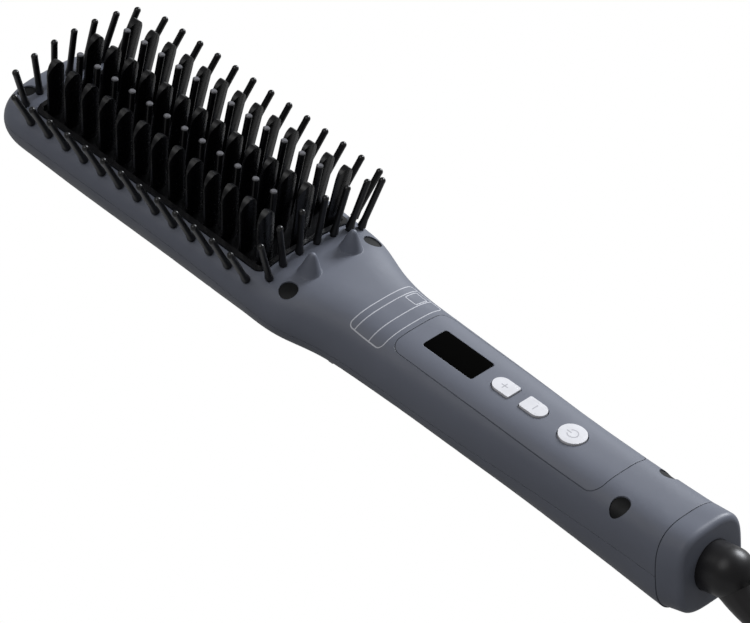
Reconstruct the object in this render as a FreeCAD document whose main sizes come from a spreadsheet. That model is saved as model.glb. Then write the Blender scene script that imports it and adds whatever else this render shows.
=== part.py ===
"""Heated hair straightening brush with a corded swivel, as separate named pieces.

Frame: +Z up, teeth upwards, +X from the head's tip to the cord, +Y to the brush's left.
The origin is below the middle of the brush, on the surface that it rests on.
Millimetres throughout. Lengths called *_at run along X from the head's tip.
"""
import FreeCAD
import Part
import Sketcher
import math
import os
import re
from FreeCAD import Placement, Rotation, Vector

# ---------------------------------------------------------------- driving sizes

# The body's cross-sections, from the tip to the tail. Each has the distance from the one
# before it, half its width, its lowest and highest point, the height of the parting line,
# and the exponents of its upper and lower halves (2 is an ellipse, more is squarer).
STATION_FIELDS = ("step", "half_width", "bottom", "top", "parting", "upper", "lower")
STATIONS = {
    "nose": (16.8, 26.05, 0.8, 27.2, 18.8, 3.0, 1.65),
    "front": (26.2, 26.2, -0.4, 27.2, 18.9, 3.0, 1.65),
    "middle": (25.0, 26.3, -0.5, 27.2, 19.0, 3.0, 1.65),
    "rear": (25.0, 26.15, -0.4, 27.2, 18.1, 2.95, 1.65),
    "collar": (17.0, 26.0, 0.5, 27.3, 16.9, 2.9, 1.65),
    "shoulder": (8.0, 25.7, 2.0, 27.6, 15.9, 2.85, 1.7),
    "slope": (8.0, 24.5, 3.0, 27.9, 15.0, 2.85, 1.8),
    "throat": (8.0, 21.4, 3.8, 27.6, 14.1, 2.9, 1.9),
    "neck": (8.0, 18.9, 4.1, 26.9, 13.3, 3.0, 2.0),
    "waist": (10.0, 17.8, 4.0, 26.4, 12.8, 3.0, 2.1),
    "wrist": (16.0, 17.3, 4.1, 26.3, 12.8, 3.0, 2.15),
    "grip": (25.0, 16.7, 3.4, 26.25, 12.8, 3.0, 2.25),
    "palm": (30.0, 15.4, 1.5, 26.45, 13.2, 3.0, 2.45),
    "heel": (30.0, 15.0, 0.4, 27.4, 13.7, 3.0, 2.85),
    "tail": (17.0, 15.2, -0.3, 28.3, 14.0, 3.0, 3.0),
    "stub": (12.0, 15.35, -0.4, 28.9, 14.2, 3.0, 3.0),
}

SIZES = {
    # shells
    "wall": 2.0,
    "parting_gap": 0.16,
    "tip_plan_exponent": 2.83,
    "tip_side_exponent": 3.0,
    # heater opening, its bezel and plate
    "rim_at": 14.96,
    "rim_length": 98.4,
    "rim_width": 39.6,
    "rim_proud": 0.6,
    "rim_wall": 1.5,
    "rim_corner": 3.0,
    "bezel_bottom": 18.2,
    "bezel_fit": 0.15,
    "bezel_flange": 1.0,
    "flange_thickness": 1.2,
    "ledge_width": 2.0,
    "ledge_thickness": 2.0,
    "plate_fit": 0.25,
    "plate_bottom": 22.5,
    "plate_thickness": 2.5,
    # heated teeth: three rows of blades and two rows of pins
    "tooth_pitch": 7.54,
    "blade_count": 13,
    "blade_first": 4.41,
    "blade_width": 7.6,
    "blade_foot_width": 5.9,
    "blade_thickness": 2.2,
    "blade_height": 23.4,
    "outer_blade_height": 21.7,
    "outer_blade_row": 14.5,
    "outer_blade_lean": 7.7,
    "pin_row": 8.5,
    "pin_lean": 4.0,
    "pin_diameter": 2.2,
    "pin_height": 23.0,
    "pin_chamfer": 0.35,
    "spigot_diameter": 1.6,
    "spigot_length": 1.5,
    "spigot_fit": 0.02,
    # guard bristles around the heater
    "bristle_pitch": 7.75,
    "bristle_side_count": 13,
    "bristle_first": 3.04,
    "bristle_side_gap": 3.5,
    "bristle_length": 18.0,
    "bristle_diameter": 2.1,
    "bristle_foot": 2.8,
    "bristle_foot_length": 2.6,
    "bristle_root": 3.4,
    "bristle_fit": 0.05,
    "bristle_lean": 32.9,
    "bristle_tip_gap": 4.9,
    "bristle_handle_gap": 1.7,
    "bristle_arc": 1.6,
    "rail_width": 6.6,
    "rail_bottom": 19.5,
    # two blunt cones behind the heater
    "cone_behind": 9.8,
    "cone_row": 8.9,
    "cone_top": 34.5,
    "cone_radius": 3.8,
    # heater stack below the plate
    "film_thickness": 0.2,
    "electrode_thickness": 0.4,
    "electrode_width": 18.0,
    "element_length": 24.0,
    "element_width": 15.0,
    "element_thickness": 2.4,
    "element_pitch": 27.0,
    "stack_length": 82.0,
    "clamp_fit": 0.3,
    "clamp_width": 26.0,
    "clamp_thickness": 1.0,
    "clamp_tab": 4.0,
    "clamp_notch_width": 9.0,
    "clamp_screw_row": 9.0,
    "shield_length": 92.0,
    "shield_width": 32.0,
    "shield_thickness": 0.8,
    "shield_top": 13.4,
    "shield_post_diameter": 6.0,
    "shield_post_inset": 8.0,
    "probe_diameter": 2.4,
    "probe_length": 5.0,
    "fuse_link_diameter": 3.6,
    "fuse_link_length": 11.0,
    # control panel, display and buttons, from the neck
    "panel_start": 18.0,
    "panel_length": 82.2,
    "panel_width": 24.6,
    "panel_corner": 3.8,
    "panel_bottom": 23.0,
    "panel_gap": 0.18,
    "panel_ledge": 1.5,
    "panel_ledge_thickness": 2.0,
    "display_start": 6.4,
    "display_length": 19.9,
    "display_width": 10.62,
    "display_corner": 1.0,
    "display_bottom": 24.2,
    "display_lip": 1.0,
    "display_gap": 0.08,
    "module_length": 22.0,
    "module_width": 9.6,
    "module_height": 4.5,
    "plus_start": 30.85,
    "plus_length": 8.1,
    "plus_width": 6.18,
    "minus_start": 42.92,
    "minus_length": 8.4,
    "minus_width": 5.98,
    "power_start": 57.6,
    "power_diameter": 9.0,
    "button_gap": 0.3,
    "button_proud": 0.55,
    "button_flange": 0.7,
    "button_flange_thickness": 0.6,
    "button_flange_drop": 0.1,
    "button_travel": 0.4,
    "stem_diameter": 3.0,
    "stem_fit": 0.08,
    "switch_side": 6.0,
    "switch_height": 2.5,
    # boards
    "board_length": 76.0,
    "board_width": 20.0,
    "board_thickness": 1.6,
    "board_top": 18.2,
    "board_start": 4.0,
    "board_screw_inset": 3.0,
    "post_diameter": 4.0,
    "power_board_start": 14.0,
    "power_board_length": 88.0,
    "power_board_width": 13.4,
    "power_board_top": 11.1,
    "power_post_diameter": 5.0,
    "small_screw_diameter": 2.0,
    "small_head_diameter": 3.6,
    "small_head_height": 1.1,
    "small_screw_fit": 0.05,
    # places along the power board, from its head end
    "terminal_at": 9.5,
    "triac_at": 22.0,
    "connector_at": 37.0,
    "connector_row": 5.0,
    "mains_fuse_at": 44.0,
    "capacitor_at": 74.0,
    "capacitor_row": 3.5,
    "capacitor_length": 13.0,
    "capacitor_width": 6.0,
    "capacitor_height": 9.6,
    "fuse_diameter": 5.0,
    "fuse_length": 18.0,
    "triac_length": 15.0,
    "triac_width": 10.0,
    "triac_height": 3.6,
    "terminal_length": 8.0,
    "terminal_width": 10.0,
    "terminal_height": 4.9,
    "chip_side": 7.0,
    "chip_height": 1.2,
    "connector_length": 12.7,
    "connector_width": 2.5,
    "lead_diameter": 1.6,
    "sensor_lead_diameter": 1.0,
    # case screws and their plugs
    "plug_diameter": 5.8,
    "plug_fit": 0.05,
    "plug_recess": 0.5,
    "tip_screw_at": 6.7,
    "tip_screw_row": 14.9,
    "tip_screw_seat": 21.6,
    "tip_screw_length": 9.5,
    "rear_screw_behind": 10.3,
    "rear_screw_row": 18.44,
    "rear_screw_seat": 21.0,
    "rear_screw_length": 10.0,
    "tail_screw_before": 19.8,
    "tail_screw_row": 10.79,
    "tail_screw_seat": 19.0,
    "tail_screw_length": 11.0,
    "screw_diameter": 3.0,
    "screw_head_diameter": 5.4,
    "screw_head_height": 2.0,
    "screw_fit": 0.05,
    "boss_diameter": 7.8,
    # ridges under the neck
    "ridge_before": 7.5,
    "ridge_pitch": 5.0,
    "ridge_width": 1.6,
    "ridge_height": 1.2,
    "ridge_span": 28.0,
    # tail cap and swivel
    "seam_centre_height": 14.2,
    "seam_before_stub": 11.5,
    "seam_gap": 0.3,
    "cap_tilt": 13.66,
    "cap_length": 8.7,
    "cap_end_half_width": 14.0,
    "cap_end_half_height": 13.66,
    "cap_end_exponent": 3.35,
    "cap_start_half_width": 15.2,
    "cap_start_half_height": 14.35,
    "cap_edge": 2.2,
    "cap_end_wall": 2.5,
    "cap_spigot": 3.5,
    "cap_spigot_diameter": 23.0,
    "cap_bore_diameter": 20.4,
    "cord_hole_diameter": 16.0,
    "hub_fit": 0.08,
    "hub_flange_diameter": 19.0,
    "hub_flange_thickness": 2.0,
    "hub_play": 0.1,
    "hub_neck_diameter": 9.0,
    "hub_neck_length": 4.6,
    "hub_reach": 6.2,
    "hub_bore_diameter": 4.4,
    "retainer_thickness": 1.7,
    "retainer_hole_diameter": 10.0,
    "ring_diameter": 10.2,
    "ring_width": 0.8,
    "ring_pitch": 1.6,
    "brush_gap": 0.08,
    "brush_width": 3.0,
    "brush_depth": 3.2,
    # strain relief, cord and mains plug
    "relief_start": 4.2,
    "relief_drop": 26.0,
    "relief_straight": 9.0,
    "relief_bend_radius": 38.0,
    "relief_exit_drop": 6.0,
    "relief_yaw": -3.0,
    "relief_skip": 5.0,
    "relief_root_diameter": 13.2,
    "relief_tip_diameter": 7.6,
    "cord_diameter": 6.5,
    "coil_mean_diameter": 72.0,
    "coil_columns": 4,
    "coil_layers": 2,
    "plug_body_length": 26.0,
    "plug_body_width": 22.0,
    "plug_body_height": 12.0,
    "plug_relief_length": 20.0,
    "plug_blade_length": 17.0,
    "plug_blade_width": 6.3,
    "plug_blade_thickness": 1.5,
    "plug_blade_pitch": 12.7,
    "plug_blade_root": 4.0,
    "plug_corner": 3.0,
}

doc = FreeCAD.newDocument("straightening_brush")
sheet = doc.addObject("Spreadsheet::Sheet", "Sizes")
ALIASES = set()


def put(alias, value):
    """Writes one driving size to the sheet as a plain number with an alias."""
    row = len(ALIASES) + 1
    sheet.set(f"A{row}", alias)
    sheet.set(f"B{row}", str(value))
    sheet.setAlias(f"B{row}", alias)
    ALIASES.add(alias)


for station, numbers in STATIONS.items():
    for field, number in zip(STATION_FIELDS, numbers):
        put(f"{station}_{field}", number)
for name, number in SIZES.items():
    put(name, number)
doc.recompute()


def size(alias):
    return float(sheet.get(alias))


# ---------------------------------------------------------------- derived places

def station_at(name):
    """Distance of a cross-section from the tip: the sum of the steps up to it."""
    total = 0.0
    for station in STATIONS:
        total += size(f"{station}_step")
        if station == name:
            return total
    raise ValueError(name)


HALF_TURN = math.pi
TILT = math.radians(size("cap_tilt"))
CORD_AXIS = Vector(math.cos(TILT), 0, math.sin(TILT))
SEAM_AT = station_at("stub") - size("seam_before_stub")
SEAM_CENTRE = Vector(SEAM_AT, 0, size("seam_centre_height"))
CAP_END = SEAM_CENTRE + CORD_AXIS * size("cap_length")
HUB_RADIUS = size("cord_hole_diameter") / 2 - size("hub_fit")
HUB_TOP = CAP_END + CORD_AXIS * size("hub_reach")

# The brush reaches from its tip to the dome of the swivel hub; the origin is halfway.
TIP_X = -(HUB_TOP.x + HUB_RADIUS) / 2
put("tip_x", round(TIP_X, 4))
doc.recompute()
TO_TIP = Vector(TIP_X, 0, 0)

RIM_MIDDLE_AT = size("rim_at") + size("rim_length") / 2
RIM_END_AT = size("rim_at") + size("rim_length")
PANEL_AT = station_at("neck") + size("panel_start")
PLATE_TOP = size("plate_bottom") + size("plate_thickness")


# ---------------------------------------------------------------- document helpers

WORD = re.compile(r"[A-Za-z_]\w*")


def formula(text):
    """Turns the aliases in an expression into references to the sheet."""
    return WORD.sub(lambda word: f"Sizes.{word[0]}" if word[0] in ALIASES else word[0], str(text))


def bind(thing, **expressions):
    for name, text in expressions.items():
        thing.setExpression(name, formula(text))
    return thing


def place(thing, x="0", y="0", z="0"):
    """Binds a placement's position to expressions."""
    for axis, text in zip("xyz", (x, y, z)):
        thing.setExpression(f"Placement.Base.{axis}", formula(text))
    return thing


def block(name, length, width, height, x, y, z):
    """A box, centred on x and y, standing on z."""
    thing = doc.addObject("Part::Box", name)
    bind(thing, Length=length, Width=width, Height=height)
    return place(thing, f"{x} - ({length}) / 2", f"{y} - ({width}) / 2", z)


def rod(name, diameter, height, x, y, z, axis=Vector(0, 0, 1)):
    """A cylinder from its foot at x, y, z along an axis."""
    thing = doc.addObject("Part::Cylinder", name)
    bind(thing, Radius=f"({diameter}) / 2", Height=height)
    thing.Placement = Placement(Vector(), Rotation(Vector(0, 0, 1), axis))
    return place(thing, x, y, z)


def cut(name, base, tool):
    thing = doc.addObject("Part::Cut", name)
    thing.Base = base
    thing.Tool = tool
    return thing


def fuse(name, *pieces):
    thing = doc.addObject("Part::MultiFuse", name)
    thing.Shapes = list(pieces)
    return thing


def group(name, *pieces):
    thing = doc.addObject("Part::Compound", name)
    thing.Links = list(pieces)
    return thing


def feature(name, shape):
    """A free form whose shape is worked out here from the sheet's sizes."""
    thing = doc.addObject("Part::Feature", name)
    thing.Shape = shape
    return thing


def role(body, name):
    return next(plane for plane in body.Origin.OriginFeatures if plane.Role == name)


def sheet_part(name, length, width, thickness, x, z, holes=()):
    """A flat body: one padded sketch of a rectangle, with round holes (x, y, diameter)."""
    body = doc.addObject("PartDesign::Body", name)
    sketch = body.newObject("Sketcher::SketchObject", f"{name}_outline")
    sketch.AttachmentSupport = [(role(body, "XY_Plane"), "")]
    sketch.MapMode = "FlatFace"
    corners = [Vector(-10, -5, 0), Vector(10, -5, 0), Vector(10, 5, 0), Vector(-10, 5, 0)]
    sides = [Part.LineSegment(corners[i], corners[(i + 1) % 4]) for i in range(4)]
    first = sketch.addGeometry(sides, False)[0]
    for i in range(4):
        sketch.addConstraint(Sketcher.Constraint("Coincident", i, 2, (i + 1) % 4, 1))
    for i in (0, 2):
        sketch.addConstraint(Sketcher.Constraint("Horizontal", i))
        sketch.addConstraint(Sketcher.Constraint("Vertical", i + 1))
    sketch.addConstraint(Sketcher.Constraint("Symmetric", first, 1, 1, 2, -1, 1))
    wide = sketch.addConstraint(Sketcher.Constraint("DistanceX", 0, 1, 0, 2, 20))
    deep = sketch.addConstraint(Sketcher.Constraint("DistanceY", 1, 1, 1, 2, 10))
    sketch.setExpression(f"Constraints[{wide}]", formula(length))
    sketch.setExpression(f"Constraints[{deep}]", formula(width))
    for hole_x, hole_y, diameter in holes:
        sign_x, text_x = hole_x
        sign_y, text_y = hole_y
        circle = sketch.addGeometry(Part.Circle(Vector(3 * sign_x, 2 * sign_y, 0), Vector(0, 0, 1), 0.5))
        bore = sketch.addConstraint(Sketcher.Constraint("Radius", circle, 0.5))
        sketch.setExpression(f"Constraints[{bore}]", formula(f"({diameter}) / 2"))
        for kind, sign, text in (("DistanceX", sign_x, text_x), ("DistanceY", sign_y, text_y)):
            if sign == 0:
                point_on = -2 if kind == "DistanceX" else -1
                sketch.addConstraint(Sketcher.Constraint("PointOnObject", circle, 3, point_on))
                continue
            ends = (-1, 1, circle, 3) if sign > 0 else (circle, 3, -1, 1)
            held = sketch.addConstraint(Sketcher.Constraint(kind, *ends, 2.0))
            sketch.setExpression(f"Constraints[{held}]", formula(text))
    pad = body.newObject("PartDesign::Pad", f"{name}_pad")
    pad.Profile = sketch
    bind(pad, Length=thickness)
    sketch.Visibility = False
    return place(body, x, "0", z)


def four(x_text, y_text, diameter):
    """Four holes at the corners of a rectangle about a flat part's middle."""
    return [((i, x_text), (j, y_text), diameter) for i in (-1, 1) for j in (-1, 1)]


# ---------------------------------------------------------------- the body's outer form

SECTION_POINTS = 24


def superellipse(at, half_width, half_up, half_down, middle, upper, lower):
    """A closed cross-section in the plane X = at, as one periodic curve."""
    points = []
    for i in range(SECTION_POINTS):
        angle = 2 * HALF_TURN * i / SECTION_POINTS
        cosine, sine = math.cos(angle), math.sin(angle)
        power = 2 / (upper if sine >= 0 else lower)
        half = half_up if sine >= 0 else half_down
        y = half_width * math.copysign(abs(cosine) ** power, cosine)
        z = middle + half * math.copysign(abs(sine) ** power, sine)
        points.append(Vector(at, y, z))
    curve = Part.BSplineCurve()
    curve.interpolate(Points=points, PeriodicFlag=True)
    return Part.Wire([curve.toShape()])


def slope_at(places, values, i):
    """A slope at a station that never overshoots: zero at a crest, else a harmonic mean."""
    if i in (0, len(places) - 1):
        i = min(max(i, 1), len(places) - 1)
        return (values[i] - values[i - 1]) / (places[i] - places[i - 1])
    before = (values[i] - values[i - 1]) / (places[i] - places[i - 1])
    after = (values[i + 1] - values[i]) / (places[i + 1] - places[i])
    return 0.0 if before * after <= 0 else 2 * before * after / (before + after)


STATION_PLACES = [station_at(name) for name in STATIONS]
STATION_VALUES = {field: [size(f"{name}_{field}") for name in STATIONS] for field in STATION_FIELDS}


def body_value(field, at):
    """A field of the cross-sections at any distance from the tip, on a smooth curve."""
    places, values = STATION_PLACES, STATION_VALUES[field]
    at = min(max(at, places[0]), places[-1])
    i = next(j for j in range(len(places) - 1) if at <= places[j + 1])
    span = places[i + 1] - places[i]
    part = (at - places[i]) / span
    start, end = slope_at(places, values, i) * span, slope_at(places, values, i + 1) * span
    rise = values[i + 1] - values[i]
    return (values[i] + part * start + part ** 2 * (3 * rise - 2 * start - end)
            + part ** 3 * (start + end - 2 * rise))


def body_section(at, inset, plan=1.0, side=1.0):
    """The body's cross-section, inset all round, and shrunk by plan and side near the tip."""
    middle = body_value("parting", at)
    return superellipse(
        at, (body_value("half_width", at) - inset) * plan,
        (body_value("top", at) - middle - inset) * side,
        (middle - body_value("bottom", at) - inset) * side,
        middle, body_value("upper", at), body_value("lower", at))


# Sections of the rounded tip, as shares of its length from its end, and the pitch of the rest.
TIP_SHARES_ALONG = (0.006, 0.022, 0.055, 0.11, 0.19, 0.3, 0.46, 0.7)
SECTION_PITCH = 12.0


def body_form(inset=0.0):
    """The closed outer form of the whole body, inset by a wall."""
    length = size("nose_step") - inset
    plan_power = size("tip_plan_exponent")
    side_power = size("tip_side_exponent")
    sections = []
    for share in TIP_SHARES_ALONG:
        plan = (1 - (1 - share) ** plan_power) ** (1 / plan_power)
        side = (1 - (1 - share) ** side_power) ** (1 / side_power)
        sections.append(body_section(inset + length * share, inset, plan, side))
    start, end = STATION_PLACES[0], STATION_PLACES[-1]
    count = round((end - start) / SECTION_PITCH)
    sections += [body_section(start + (end - start) * i / count, inset) for i in range(count + 1)]
    form = Part.makeLoft(sections, True, False)
    form.translate(TO_TIP)
    return form


def big_box(x_low, x_high, z_low, z_high, half_width=60.0):
    return Part.makeBox(x_high - x_low, 2 * half_width, z_high - z_low, Vector(x_low, -half_width, z_low))


BEYOND = 60.0


def parting_solid(above, gap):
    """The space above or below the parting surface, moved away from it by half the gap."""
    shift = gap / 2 if above else -gap / 2
    end = STATION_PLACES[-1] + BEYOND
    count = round((end + BEYOND) / SECTION_PITCH)
    places = [-BEYOND + (end + BEYOND) * i / count for i in range(count + 1)]
    points = [Vector(at, 0, body_value("parting", at) + shift) for at in places]
    line = Part.BSplineCurve()
    line.interpolate(Points=points)
    far = BEYOND if above else -BEYOND
    ends = [points[-1] + Vector(0, 0, far), points[0] + Vector(0, 0, far)]
    outline = Part.Wire([line.toShape(), Part.makeLine(points[-1], ends[0]),
                         Part.makeLine(ends[0], ends[1]), Part.makeLine(ends[1], points[0])])
    face = Part.Face(outline)
    face.translate(Vector(0, -BEYOND, 0) + TO_TIP)
    return face.extrude(Vector(0, 2 * BEYOND, 0))


def tilted_box(start, length, half=40.0):
    """A box across the tail, from a distance past the seam plane, along the cord's axis."""
    solid = Part.makeBox(length, 2 * half, 2 * half, Vector(start, -half, -half))
    solid.Placement = Placement(SEAM_CENTRE + TO_TIP, Rotation(Vector(0, 1, 0), -size("cap_tilt")))
    return solid


def tilted_rod(radius, start, length):
    """A cylinder on the cord's axis, from a distance past the cap's end face."""
    foot = CAP_END + TO_TIP + CORD_AXIS * start
    return Part.makeCylinder(radius, length, foot, CORD_AXIS)


def rounded_prism(x_low, length, width, bottom, top, corner):
    """An upright prism with a rounded rectangle as its outline, centred on Y = 0."""
    solid = Part.makeBox(length, width, top - bottom, Vector(x_low, -width / 2, bottom))
    upright = [edge for edge in solid.Edges if abs(edge.tangentAt(edge.FirstParameter).z) > 0.9]
    return solid.makeFillet(corner, upright)


# ---------------------------------------------------------------- places of the repeated pieces

def blade_places():
    first = size("rim_at") + size("blade_first")
    return [TIP_X + first + i * size("tooth_pitch") for i in range(int(size("blade_count")))]


def pin_places():
    places = blade_places()
    return [(a + b) / 2 - size("tooth_pitch") * 0.07 for a, b in zip(places, places[1:])]


def bristle_roots():
    """Foot point and direction of each guard bristle, on the head's surface."""
    roots = []
    lean = math.radians(size("bristle_lean"))
    row = size("rim_width") / 2 + size("bristle_side_gap")
    for i in range(int(size("bristle_side_count"))):
        x = size("rim_at") + size("bristle_first") + i * size("bristle_pitch")
        for side in (-1, 1):
            roots.append((x, side * row, Vector(0, side * math.sin(lean), math.cos(lean))))
    ends = ((size("rim_at") - size("bristle_tip_gap"), TIP_SHARES),
            (RIM_END_AT + size("bristle_handle_gap"), HANDLE_SHARES))
    for end_x, shares in ends:
        for share in shares:
            y = share * (row - END_INSET)
            x = end_x + size("bristle_arc") * share ** 2
            angle = lean * y / row * END_LEAN
            roots.append((x, y, Vector(0, math.sin(angle), math.cos(angle))))
    return roots


# Seven bristles across each end, as shares of the half width; the handle end's are uneven.
TIP_SHARES = (-1.0, -0.67, -0.33, 0.0, 0.33, 0.67, 1.0)
HANDLE_SHARES = (-0.98, -0.65, -0.27, 0.12, 0.47, 0.79, 1.03)
END_INSET = 3.6
END_LEAN = 0.82


def screw_places():
    """Axis x, row, seat height and length of each pair of case screws."""
    return [
        (size("tip_screw_at"), size("tip_screw_row"), size("tip_screw_seat"), size("tip_screw_length")),
        (RIM_END_AT + size("rear_screw_behind"), size("rear_screw_row"),
         size("rear_screw_seat"), size("rear_screw_length")),
        (SEAM_AT - size("tail_screw_before"), size("tail_screw_row"),
         size("tail_screw_seat"), size("tail_screw_length")),
    ]


def each_screw():
    for x, row, seat, length in screw_places():
        for side in (-1, 1):
            yield Vector(TIP_X + x, side * row, seat), length


# ---------------------------------------------------------------- shells

OUTER = body_form()
INNER = body_form(size("wall"))
RAISED = 45.0


def surface_height(x, y):
    """Height of the outer form's top at a place."""
    line = Part.makeLine(Vector(x, y, size("middle_parting") - 8), Vector(x, y, RAISED))
    return line.common(OUTER).BoundBox.ZMax


BRISTLES = [(Vector(TIP_X + x, y, surface_height(TIP_X + x, y)), way) for x, y, way in bristle_roots()]


# A cone's outline: shares of its foot radius, and of its rise from the foot.
CONE_OUTLINE = ((1.22, 0.0), (0.93, 0.16), (0.74, 0.4), (0.52, 0.68), (0.34, 0.88), (0.2, 0.97), (0.06, 1.0))


def cone_solid(x, y):
    """A blunt cone with a flared foot, standing in the surface."""
    foot = surface_height(x, y) - 1.0
    rise = size("cone_top") - foot
    outline = [Vector(size("cone_radius") * share, 0, foot + rise * height) for share, height in CONE_OUTLINE]
    side = Part.BSplineCurve()
    side.interpolate(Points=outline)
    axis_low, axis_high = Vector(0, 0, foot), Vector(0, 0, outline[-1].z)
    face = Part.Face(Part.Wire([side.toShape(), Part.makeLine(outline[-1], axis_high),
                                Part.makeLine(axis_high, axis_low), Part.makeLine(axis_low, outline[0])]))
    solid = face.revolve(Vector(), Vector(0, 0, 1), 360)
    solid.translate(Vector(x, y, 0))
    return solid


def panel_prism(grow, bottom, top):
    """The control panel's outline, grown all round."""
    return rounded_prism(TIP_X + PANEL_AT - grow, size("panel_length") + 2 * grow,
                         size("panel_width") + 2 * grow, bottom, top, size("panel_corner") + grow)


def shared_core():
    """The hollow of the closed body, less the bosses, rails, posts and ledges that fill it."""
    core = INNER
    solids = []
    for seat, length in each_screw():
        solids.append(Part.makeCylinder(size("boss_diameter") / 2, RAISED, Vector(seat.x, seat.y, 0)))
    rail = size("rail_width")
    solids.append(Part.makeBox(size("rim_length") + 2 * rail, size("rim_width") + 2 * rail, RAISED,
                               Vector(TIP_X + size("rim_at") - rail, -size("rim_width") / 2 - rail,
                                      size("rail_bottom"))))
    ledge_bottom = size("panel_bottom") - size("panel_ledge_thickness")
    ring = panel_prism(size("panel_ledge") + 1.0, ledge_bottom, RAISED)
    solids.append(ring.cut(panel_prism(-size("panel_ledge"), 0, RAISED)))
    post = size("shield_post_diameter") / 2
    for side in (-1, 1):
        x = TIP_X + RIM_MIDDLE_AT + side * (size("shield_length") / 2 - size("shield_post_inset"))
        solids.append(Part.makeCylinder(post, size("shield_top") - size("shield_thickness"), Vector(x, 0, 0)))
        x = POWER_BOARD_MIDDLE + side * (size("power_board_length") / 2 - size("board_screw_inset"))
        floor = size("power_board_top") - size("board_thickness")
        solids.append(Part.makeCylinder(size("power_post_diameter") / 2, floor, Vector(x, 0, 0)))
    return core.cut(Part.makeCompound(solids))


POWER_BOARD_MIDDLE = TIP_X + PANEL_AT + size("power_board_start") + size("power_board_length") / 2


def shell_tools():
    """What is taken out of both shells: the screws' bores, seats and plug wells."""
    tools = []
    for seat, length in each_screw():
        bore = size("screw_diameter") / 2 + size("screw_fit")
        well = size("plug_diameter") / 2 + size("plug_fit")
        tools.append(Part.makeCylinder(bore, length + 1, Vector(seat.x, seat.y, seat.z - length)))
        tools.append(Part.makeCylinder(well, RAISED, seat))
    for side in (-1, 1):
        inset = size("board_screw_inset")
        x = POWER_BOARD_MIDDLE + side * (size("power_board_length") / 2 - inset)
        bore = size("small_screw_diameter") / 2 + size("small_screw_fit")
        floor = size("power_board_top") - size("board_thickness")
        tools.append(Part.makeCylinder(bore, SMALL_SCREW_BITE, Vector(x, 0, floor - SMALL_SCREW_BITE)))
        x = TIP_X + RIM_MIDDLE_AT + side * (size("shield_length") / 2 - size("shield_post_inset"))
        floor = size("shield_top") - size("shield_thickness")
        tools.append(Part.makeCylinder(bore, SMALL_SCREW_BITE, Vector(x, 0, floor - SMALL_SCREW_BITE)))
    return tools


SMALL_SCREW_BITE = 3.0


def housings():
    """Front and rear shells of the closed body, up to the tail seam."""
    gap = size("seam_gap") / 2
    rest = big_box(TIP_X - 10, TIP_X + station_at("stub") + BEYOND, -10, 0)
    closed = OUTER.cut(rest).cut(tilted_box(-gap, BEYOND))
    hollow = closed.cut(shared_core()).cut(Part.makeCompound(shell_tools()))
    front = hollow.common(parting_solid(True, size("parting_gap")))
    rear = hollow.common(parting_solid(False, size("parting_gap")))
    return front, rear


def front_shell(shell):
    """Cuts the heater opening, the bristle holes and the panel opening; adds the cones."""
    fit = size("bezel_fit")
    cone_x = TIP_X + RIM_END_AT + size("cone_behind")
    cones = [cone_solid(cone_x, side * size("cone_row")) for side in (-1, 1)]
    shell = shell.fuse(cones)
    opening = rounded_prism(TIP_X + size("rim_at") - fit, size("rim_length") + 2 * fit,
                            size("rim_width") + 2 * fit, 0, RAISED, size("rim_corner") + fit)
    panel_hole = panel_prism(size("panel_gap"), size("panel_bottom"), RAISED)
    holes = []
    for foot, way in BRISTLES:
        radius = size("bristle_diameter") / 2 + size("bristle_fit")
        root = size("bristle_root")
        holes.append(Part.makeCylinder(radius, root + 4, foot - way * root, way))
    return shell.cut(Part.makeCompound([opening, panel_hole] + holes))


def rear_shell(shell):
    """Adds the two ridges under the neck."""
    ridges = []
    for i in range(2):
        at = station_at("neck") - size("ridge_before") + i * size("ridge_pitch")
        start = TIP_X + at
        ring = OUTER.common(big_box(start, start + size("ridge_width"), -10, 10, size("ridge_span") / 2))
        grown = ring.copy()
        grown.translate(Vector(0, 0, -size("ridge_height")))
        ridges.append(grown.cut(OUTER))
    return shell.fuse(ridges)


front, rear = housings()
feature("front_housing", front_shell(front))
feature("rear_housing", rear_shell(rear))

# ---------------------------------------------------------------- heater

RIM_MIDDLE = "tip_x + rim_at + rim_length / 2"


def lifted_form(rise):
    """The body's outer form, moved up: its top is the crown of a piece that stands proud."""
    form = OUTER.copy()
    form.translate(Vector(0, 0, rise))
    return form


bezel_outer = rounded_prism(TIP_X + size("rim_at"), size("rim_length"), size("rim_width"),
                            size("bezel_bottom"), RAISED, size("rim_corner"))
bezel_outer = bezel_outer.common(lifted_form(size("rim_proud")))
flange_reach = size("bezel_flange") + size("bezel_fit")
bezel_foot = rounded_prism(TIP_X + size("rim_at") - flange_reach, size("rim_length") + 2 * flange_reach,
                           size("rim_width") + 2 * flange_reach, size("bezel_bottom"),
                           size("bezel_bottom") + size("flange_thickness"), size("rim_corner"))
inside = size("rim_wall")
bezel_well = rounded_prism(TIP_X + size("rim_at") + inside, size("rim_length") - 2 * inside,
                           size("rim_width") - 2 * inside, size("plate_bottom"), RAISED, inside)
inside = size("rim_wall") + size("ledge_width")
bezel_throat = rounded_prism(TIP_X + size("rim_at") + inside, size("rim_length") - 2 * inside,
                             size("rim_width") - 2 * inside, 0, RAISED, 1.0)
below = size("plate_bottom") - size("ledge_thickness")
inside = size("rim_wall")
bezel_under = rounded_prism(TIP_X + size("rim_at") + inside, size("rim_length") - 2 * inside,
                            size("rim_width") - 2 * inside, 0, below, inside)
bezel_hollow = Part.makeCompound([bezel_well, bezel_throat, bezel_under])
feature("heater_bezel", bezel_outer.fuse(bezel_foot).cut(bezel_hollow))


def tooth_rows():
    """Row position, lean and height of the three blade rows."""
    row, lean, height = size("outer_blade_row"), size("outer_blade_lean"), size("outer_blade_height")
    return [(-row, lean, height), (0.0, 0.0, size("blade_height")), (row, -lean, height)]


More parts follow.
